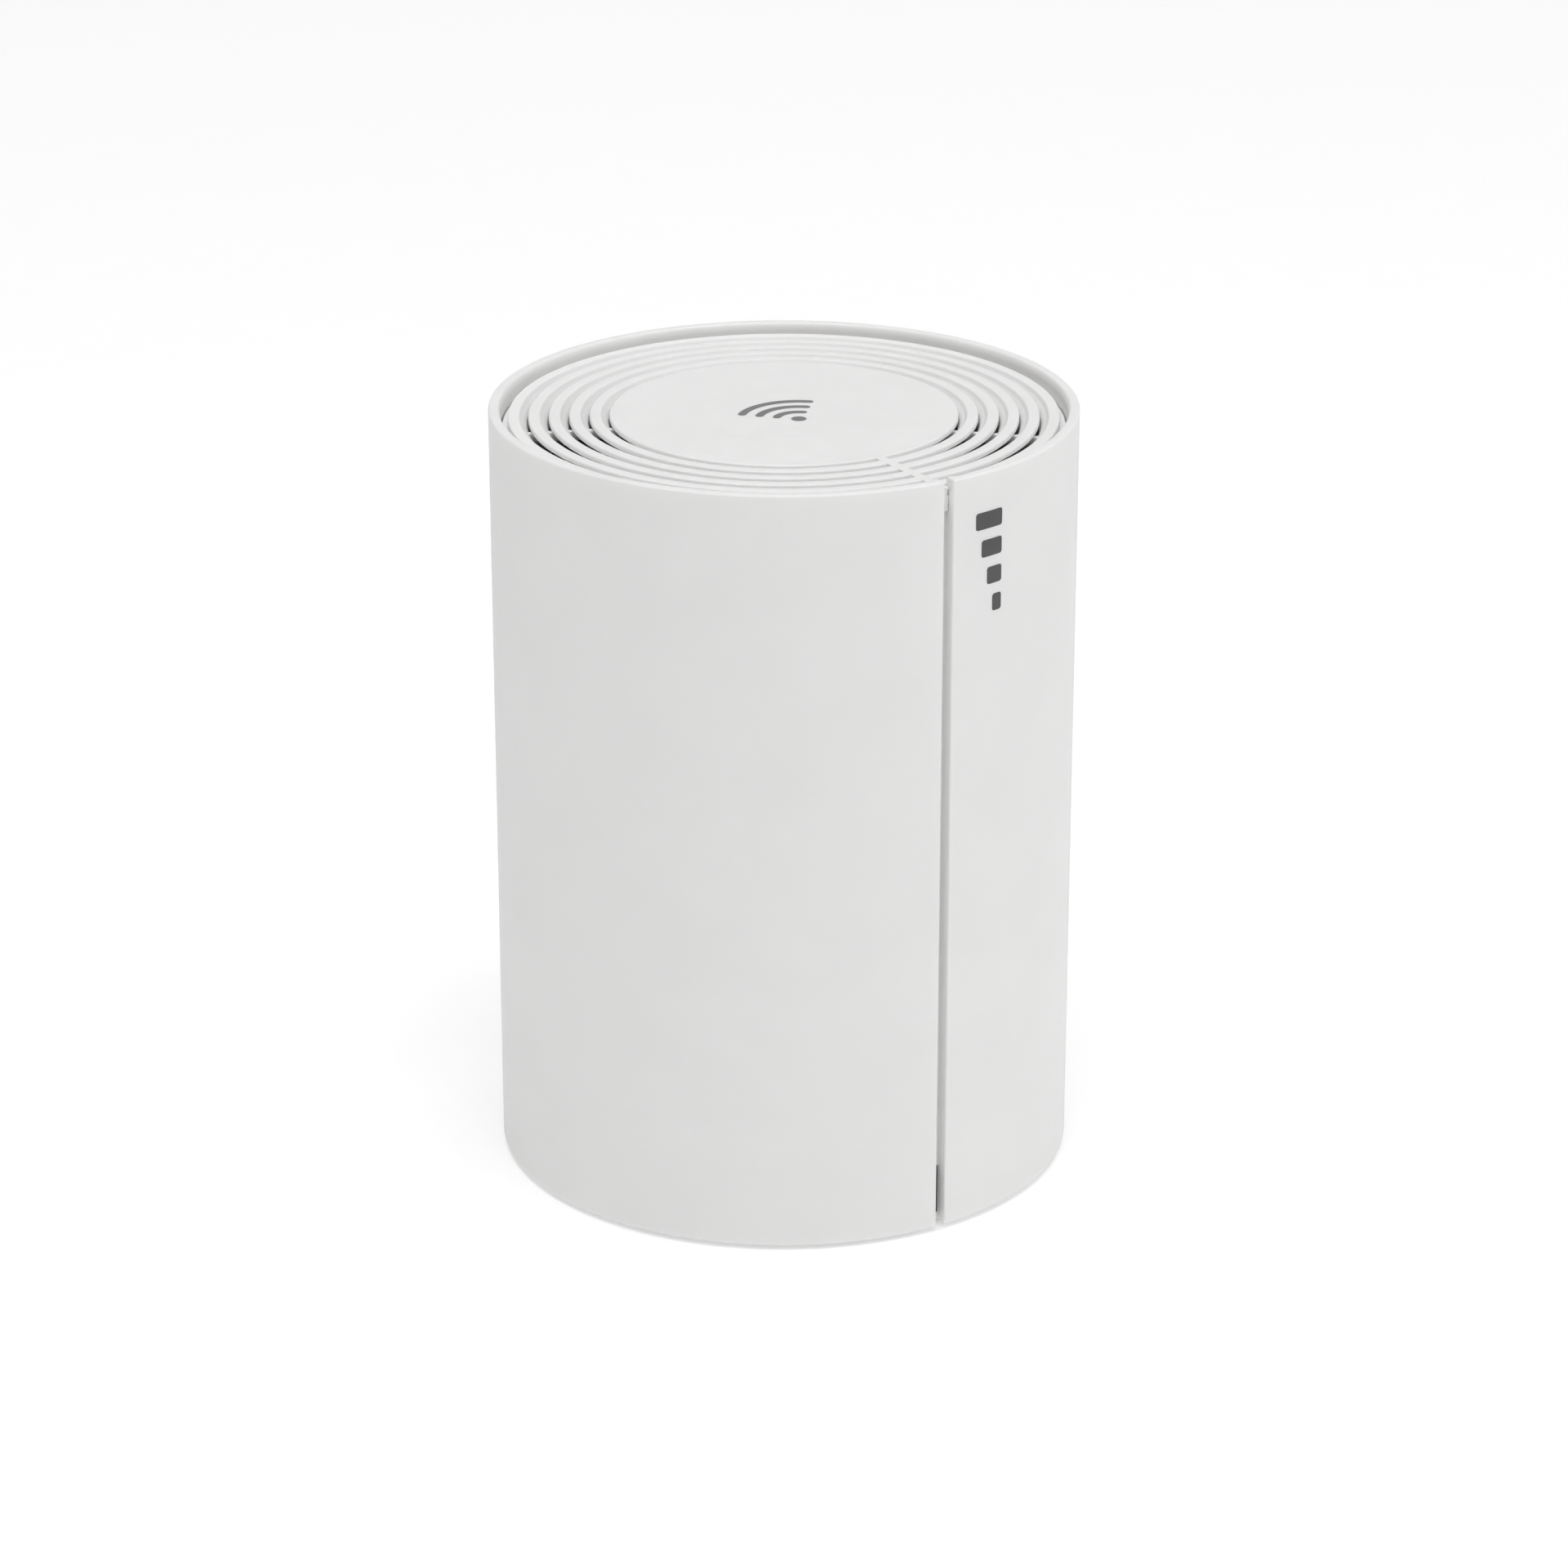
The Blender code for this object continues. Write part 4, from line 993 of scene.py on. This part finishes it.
def make_contacts(jack, height):
    """Eight spring wires that lean into the socket from a bar at its back."""
    low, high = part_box(f"{jack}_jack_contacts")
    rear = low.y
    bar = rounded_box(
        f"{jack}_bar",
        (3.3 * MM, rear + 0.05 * MM, height - 4.6 * MM),
        (4.6 * MM, rear + 1.2 * MM, height + 4.6 * MM),
        0.15 * MM,
        2,
    )
    route = ((4.25, 0.4), (4.2, 1.4), (3.95, 2.4), (2.95, 6.6), (2.65, 7.5), (2.62, 7.9), (2.8, 8.1))
    half_wire = 0.15 * MM
    pitch = 1.02 * MM
    wires = []
    for index in range(8):
        along = height + (index - 3.5) * pitch
        rings = []
        for step, (x, y) in enumerate(route):
            ahead = Vector(route[min(step + 1, len(route) - 1)]) - Vector(route[max(step - 1, 0)])
            side = Vector((ahead.y, -ahead.x)).normalized()
            spot = Vector((x * MM, rear + y * MM))
            ring = []
            for edge in round_rect(half_wire, 0.2 * MM, 0.07 * MM, 2):
                across = spot + side * edge.x
                ring.append((across.x, across.y, along + edge.y))
            rings.append(ring)
        wires.append(loft(f"{jack}_wire_{index}", rings))
    join(bar, merged(f"{jack}_wires", wires))
    bar.name = f"{jack}_contacts"
    piece(bar, "contact_gold", f"{jack}_jack_contacts")


def make_power_inlet():
    """The barrel inlet: a block with a round collar, a bore, and the pin in the middle of it."""
    height = middle("dc_jack_pin").z
    shoulder = BEZEL_LOW.y - FIT_GAP
    root = shoulder - 1 * MM
    nose = DC_HIGH.y
    neck = 4.0 * MM
    bore = 3.15 * MM
    mouth = bore + 0.3 * MM
    floor = nose - 9.5 * MM
    outside = nose + 1 * MM
    body = rounded_box("power_inlet", DC_LOW, (DC_HIGH.x, shoulder, DC_HIGH.z), 0.35 * MM)
    place = Matrix.Translation((0.0, 0.0, height)) @ TO_REAR
    collar = rounded([(0.0, root, 0.0), (neck, root, 0.0), (neck, nose, 0.25 * MM), (0.0, nose, 0.0)], 3)
    join(body, turned("collar", collar, SMALL_STEPS, place))
    hollow = rounded(
        [
            (0.0, floor, 0.0),
            (bore, floor, 0.15 * MM),
            (bore, nose - 0.3 * MM, 0.0),
            (mouth, nose, 0.0),
            (mouth, outside, 0.0),
            (0.0, outside, 0.0),
        ],
        3,
    )
    cut(body, turned("bore", hollow, SMALL_STEPS, place))
    radius = DC_PIN_HIGH.x
    rear = DC_PIN_LOW.y
    tip = DC_PIN_HIGH.y
    hole = radius + 0.2 * MM
    deep = floor - 3.0 * MM
    clear = floor + 1 * MM
    pin_hole = [(0.0, deep), (hole, deep), (hole, clear), (0.0, clear)]
    cut(body, turned("pin_hole", pin_hole, SMALL_STEPS, place))
    piece(body, "connector_black", "dc_jack")
    pin = rounded([(0.0, rear, 0.0), (radius, rear, 0.1 * MM), (radius, tip, 0.5 * MM), (0.0, tip, 0.0)], 5)
    piece(turned("power_pin", pin, SMALL_STEPS, place), "shield_tin", "dc_jack_pin")


def make_button():
    """The pairing button: a cap with a dished top, on a flange that keeps it behind the bezel."""
    height = middle("wps_button").z
    front = BUTTON_HIGH.y
    rear = BUTTON_LOW.y
    radius = 3.2 * MM
    flange = BUTTON_HIGH.x
    step = rear + 1.0 * MM
    place = Matrix.Translation((0.0, 0.0, height)) @ TO_REAR
    outline = rounded(
        [
            (0.0, rear, 0.0),
            (flange, rear, 0.15 * MM),
            (flange, step, 0.15 * MM),
            (radius, step, 0.1 * MM),
            (radius, front - 0.25 * MM, 0.3 * MM),
            (2.3 * MM, front, 0.3 * MM),
            (1.9 * MM, front, 0.1 * MM),
            (1.6 * MM, front - 0.18 * MM, 0.3 * MM),
            (0.0, front - 0.24 * MM, 0.0),
        ],
        3,
    )
    button = turned("pair_button", outline, SMALL_STEPS, place)
    piece(button, "white_housing", "wps_button", body="wps_button")


def make_light_pipe():
    """The smoked window at the slit's foot, just behind the slit's floor."""
    slack = 0.03 * MM
    pipe = rounded_box(
        "status_window",
        (-SLIT_HALF + slack, SLIT_FLOOR + slack, WINDOW_LOW + slack),
        (SLIT_HALF - slack, PIPE_BACK, WINDOW_HIGH - slack),
        0.10 * MM,
    )
    piece(pipe, "light_pipe", "light_pipe")


# Printed marks, all generic


def make_top_mark():
    """A dot with three arcs, the plain sign for a wireless signal, facing the slit."""
    dot = 1.35 * MM
    half_stroke = 0.75 * MM
    dot_place = -4.9 * MM
    outlines = [disc(dot)]
    for radius in (4.0 * MM, 7.2 * MM, 10.4 * MM):
        outlines.append(arc_band(radius, half_stroke, 90, 43))
    solids = []
    for index, outline in enumerate(outlines):
        spot = moved(outline, 0.0, dot_place)
        levels = [(spot, CAP_TOP - 0.05 * MM), (spot, CAP_TOP + 0.03 * MM)]
        solids.append(prism(f"arc_{index}", levels, lambda u, v, w: (u, v, w)))
    piece(merged("wireless_mark", solids), None, material=GREY_INK)


def moved(outline, u, v):
    return [point + Vector((u, v)) for point in outline]


def bay_sign(name, u, height, outlines):
    """A small plain sign printed on the bay's floor. Its outlines are in mm."""
    front = BAY_FLOOR + 0.015 * MM
    place = on_bay(height)
    solids = []
    for index, outline in enumerate(outlines):
        spot = moved([point * MM for point in outline], u, 0.0)
        levels = [(spot, front - 0.05 * MM), (spot, front)]
        solids.append(prism(f"{name}_{index}", levels, place))
    piece(merged(name, solids), None, material=PALE_INK)


def make_bay_signs():
    """Plain signs for power, internet, local network and pairing."""
    stroke = 0.13
    tip = stroke * 0.9
    bar = round_rect(0.9, stroke, tip, 3)
    post = round_rect(stroke, 0.5, tip, 3)
    pole = round_rect(stroke, 1.0, tip, 3)
    square = round_rect(0.42, 0.36, 0.1, 3)
    hoop = [arc_band(1.05, stroke, middle, 82) for middle in (90, 270)]
    arrow_head = ((0.62, -0.1), (1.38, -0.1), (1.0, 0.5))
    arrows = []
    for side in (1, -1):
        arrows.append(arc_band(1.0, stroke, 90 * side + 8, 60))
        arrows.append([Vector(corner) * side for corner in arrow_head])
    power = [arc_band(1.0, stroke, 270, 142), moved(post, 0.0, 0.75)]
    network = [
        moved(square, 0.0, 0.85),
        moved(square, -0.95, -0.85),
        moved(square, 0.95, -0.85),
        round_rect(1.05, stroke, tip, 3),
        moved(post, 0.0, 0.35),
        moved(post, -0.95, -0.35),
        moved(post, 0.95, -0.35),
    ]
    bay_sign("power_sign", -6.9 * MM, middle("dc_jack_pin").z, power)
    bay_sign("internet_sign", 0.0, BAY_CENTRE - 28.3 * MM, [*hoop, bar, pole])
    bay_sign("network_sign", 0.0, BAY_CENTRE + 27.4 * MM, network)
    bay_sign("pairing_sign", 6.7 * MM, middle("wps_button").z, arrows)


def make_side_mark():
    """Four signal bars of growing width, one above the other, beside the slit."""
    azimuth = math.radians(9.7)
    out = Vector((math.sin(azimuth), -math.cos(azimuth), 0.0))
    side = Vector((math.cos(azimuth), math.sin(azimuth), 0.0))
    centre = RIM - 16.3 * MM
    bar = 3.1 * MM
    pitch = 5.1 * MM
    right = 3.1 * MM
    widest = 6.2
    narrowing = 1.35

    def place(u, v, w):
        return side * u + out * w + Vector((0.0, 0.0, centre + v))

    bars = []
    for index in range(4):
        half = (widest - narrowing * (3 - index)) * MM / 2
        outline = moved(round_rect(half, bar / 2, 0.5 * MM), right - half, (index - 1.5) * pitch)
        bars.append(prism(f"bar_{index}", [(outline, RADIUS - 3 * MM), (outline, RADIUS + 3 * MM)], place))
    marks = merged("signal_mark", bars)
    low = centre - 20 * MM
    high = RIM - 0.5 * MM
    outside = RADIUS + 0.025 * MM
    inside = RADIUS - 0.3 * MM
    rings = [
        raised(slit_outline(radius, SLIT_HALF, SLIT_FLOOR, SLIT_ROUND, SLIT_ROOT), level)
        for radius, level in ((outside, low), (outside, high), (inside, high), (inside, low))
    ]
    skin = loft("skin", rings, closed=True)
    combine(marks, "INTERSECT", [skin])
    piece(marks, None, material=DARK_INK)


# Frame and electronics: they keep their CAD shapes


def dress_frame():
    """Gives every CAD node that still shows the material of its slot."""
    slots = {part["node"]: part["material_slot"] for part in frame["record"]["subparts"]}
    for name, obj in frame["nodes"].items():
        if obj.hide_render:
            continue
        obj.data.materials.clear()
        obj.data.materials.append(MATERIALS[slots[name]])


# Studio

LENS = 117.36
SENSOR = 36
CAMERA_AZIMUTH = -32.35
CAMERA_PITCH = 21.507
CAMERA_DISTANCE = 0.9345
CAMERA_HEIGHT = 68.6 * MM
LIGHT_DISTANCE = 4.0
LIGHT_HEIGHT = 70 * MM
WORLD_STRENGTH = 0.20
FLOOR_RADIUS = 14.0


def aim(obj, location, target):
    obj.location = location
    obj.rotation_euler = (Vector(target) - Vector(location)).to_track_quat("-Z", "Y").to_euler()
    bpy.context.scene.collection.objects.link(obj)


def around_object(azimuth, pitch, distance, height):
    """A point seen from the object at an azimuth from the slit and a pitch, in degrees."""
    turn = math.radians(azimuth)
    lift = math.radians(pitch)
    flat = distance * math.cos(lift)
    return Vector((flat * math.sin(turn), -flat * math.cos(turn), height + distance * math.sin(lift)))


def make_camera():
    data = bpy.data.cameras.new("camera")
    data.sensor_width = SENSOR
    data.lens = LENS
    camera = bpy.data.objects.new("camera", data)
    place = around_object(CAMERA_AZIMUTH, CAMERA_PITCH, CAMERA_DISTANCE, CAMERA_HEIGHT)
    aim(camera, place, (0.0, 0.0, CAMERA_HEIGHT))
    bpy.context.scene.camera = camera


def softbox(name, azimuth, pitch, size, power):
    data = bpy.data.lights.new(name, "AREA")
    data.shape = "SQUARE"
    data.size = size
    data.energy = power
    light = bpy.data.objects.new(name, data)
    place = around_object(azimuth, pitch, LIGHT_DISTANCE, LIGHT_HEIGHT)
    aim(light, place, (0.0, 0.0, LIGHT_HEIGHT))


def glowing_paper():
    """White paper that glows with painted light: brightest close around the object, which fills in the
    shadow it casts, and brighter again far off where the softboxes fall off, so it stays white under the
    object and far off.
    """
    material = make_material(
        "floor_paper", (0.85, 0.85, 0.85), 0.9, grain=2 * MM, relief=0.01 * MM, mottle=0.003
    )
    tree = material.node_tree
    coords = node(tree, "ShaderNodeTexCoord").outputs["Object"]
    distance = node(tree, "ShaderNodeVectorMath", operation="LENGTH")
    tree.links.new(coords, distance.inputs[0])
    away = distance.outputs["Value"]
    # Painted light: the glow is strongest right around the object, filling in its cast shadow, and rises
    # again far off where the softboxes fall off
    shadow_fill_glow = ranged(tree, away, 0.27, 0.235, start=0.07, end=0.45)
    falloff_fill_glow = ranged(tree, away, 0.0, 0.6, start=1.0, end=4.5)
    glow = node(tree, "ShaderNodeMath", operation="ADD")
    tree.links.new(shadow_fill_glow, glow.inputs[0])
    tree.links.new(falloff_fill_glow, glow.inputs[1])
    shader = tree.nodes["Principled BSDF"]
    shader.inputs["Emission Color"].default_value = (1.0, 1.0, 1.0, 1.0)
    tree.links.new(glow.outputs["Value"], shader.inputs["Emission Strength"])
    return material


def make_studio():
    bm = bmesh.new()
    bmesh.ops.create_circle(bm, cap_ends=True, radius=FLOOR_RADIUS, segments=96)
    floor = to_object("floor", bm)
    floor.location.z = -0.05 * MM
    floor.data.materials.append(glowing_paper())
    world = bpy.data.worlds.new("studio")
    world.use_nodes = True
    background = world.node_tree.nodes["Background"]
    background.inputs["Color"].default_value = (1.0, 1.0, 1.0, 1.0)
    background.inputs["Strength"].default_value = WORLD_STRENGTH
    bpy.context.scene.world = world
    softbox("softbox_front", azimuth=-38, pitch=60, size=3.5, power=51.0)
    softbox("softbox_right", azimuth=50, pitch=20, size=3.0, power=27.0)
    softbox("softbox_overhead", azimuth=150, pitch=88, size=3.5, power=98.0)
    bpy.context.scene.view_settings.view_transform = "Standard"


make_shell()
make_grille()
make_base()
make_foot()
make_label()
make_base_screws()
make_bezel()
for network_jack in JACKS:
    make_jack(network_jack)
make_power_inlet()
make_button()
make_light_pipe()
make_top_mark()
make_side_mark()
make_bay_signs()
dress_frame()
make_camera()
make_studio()
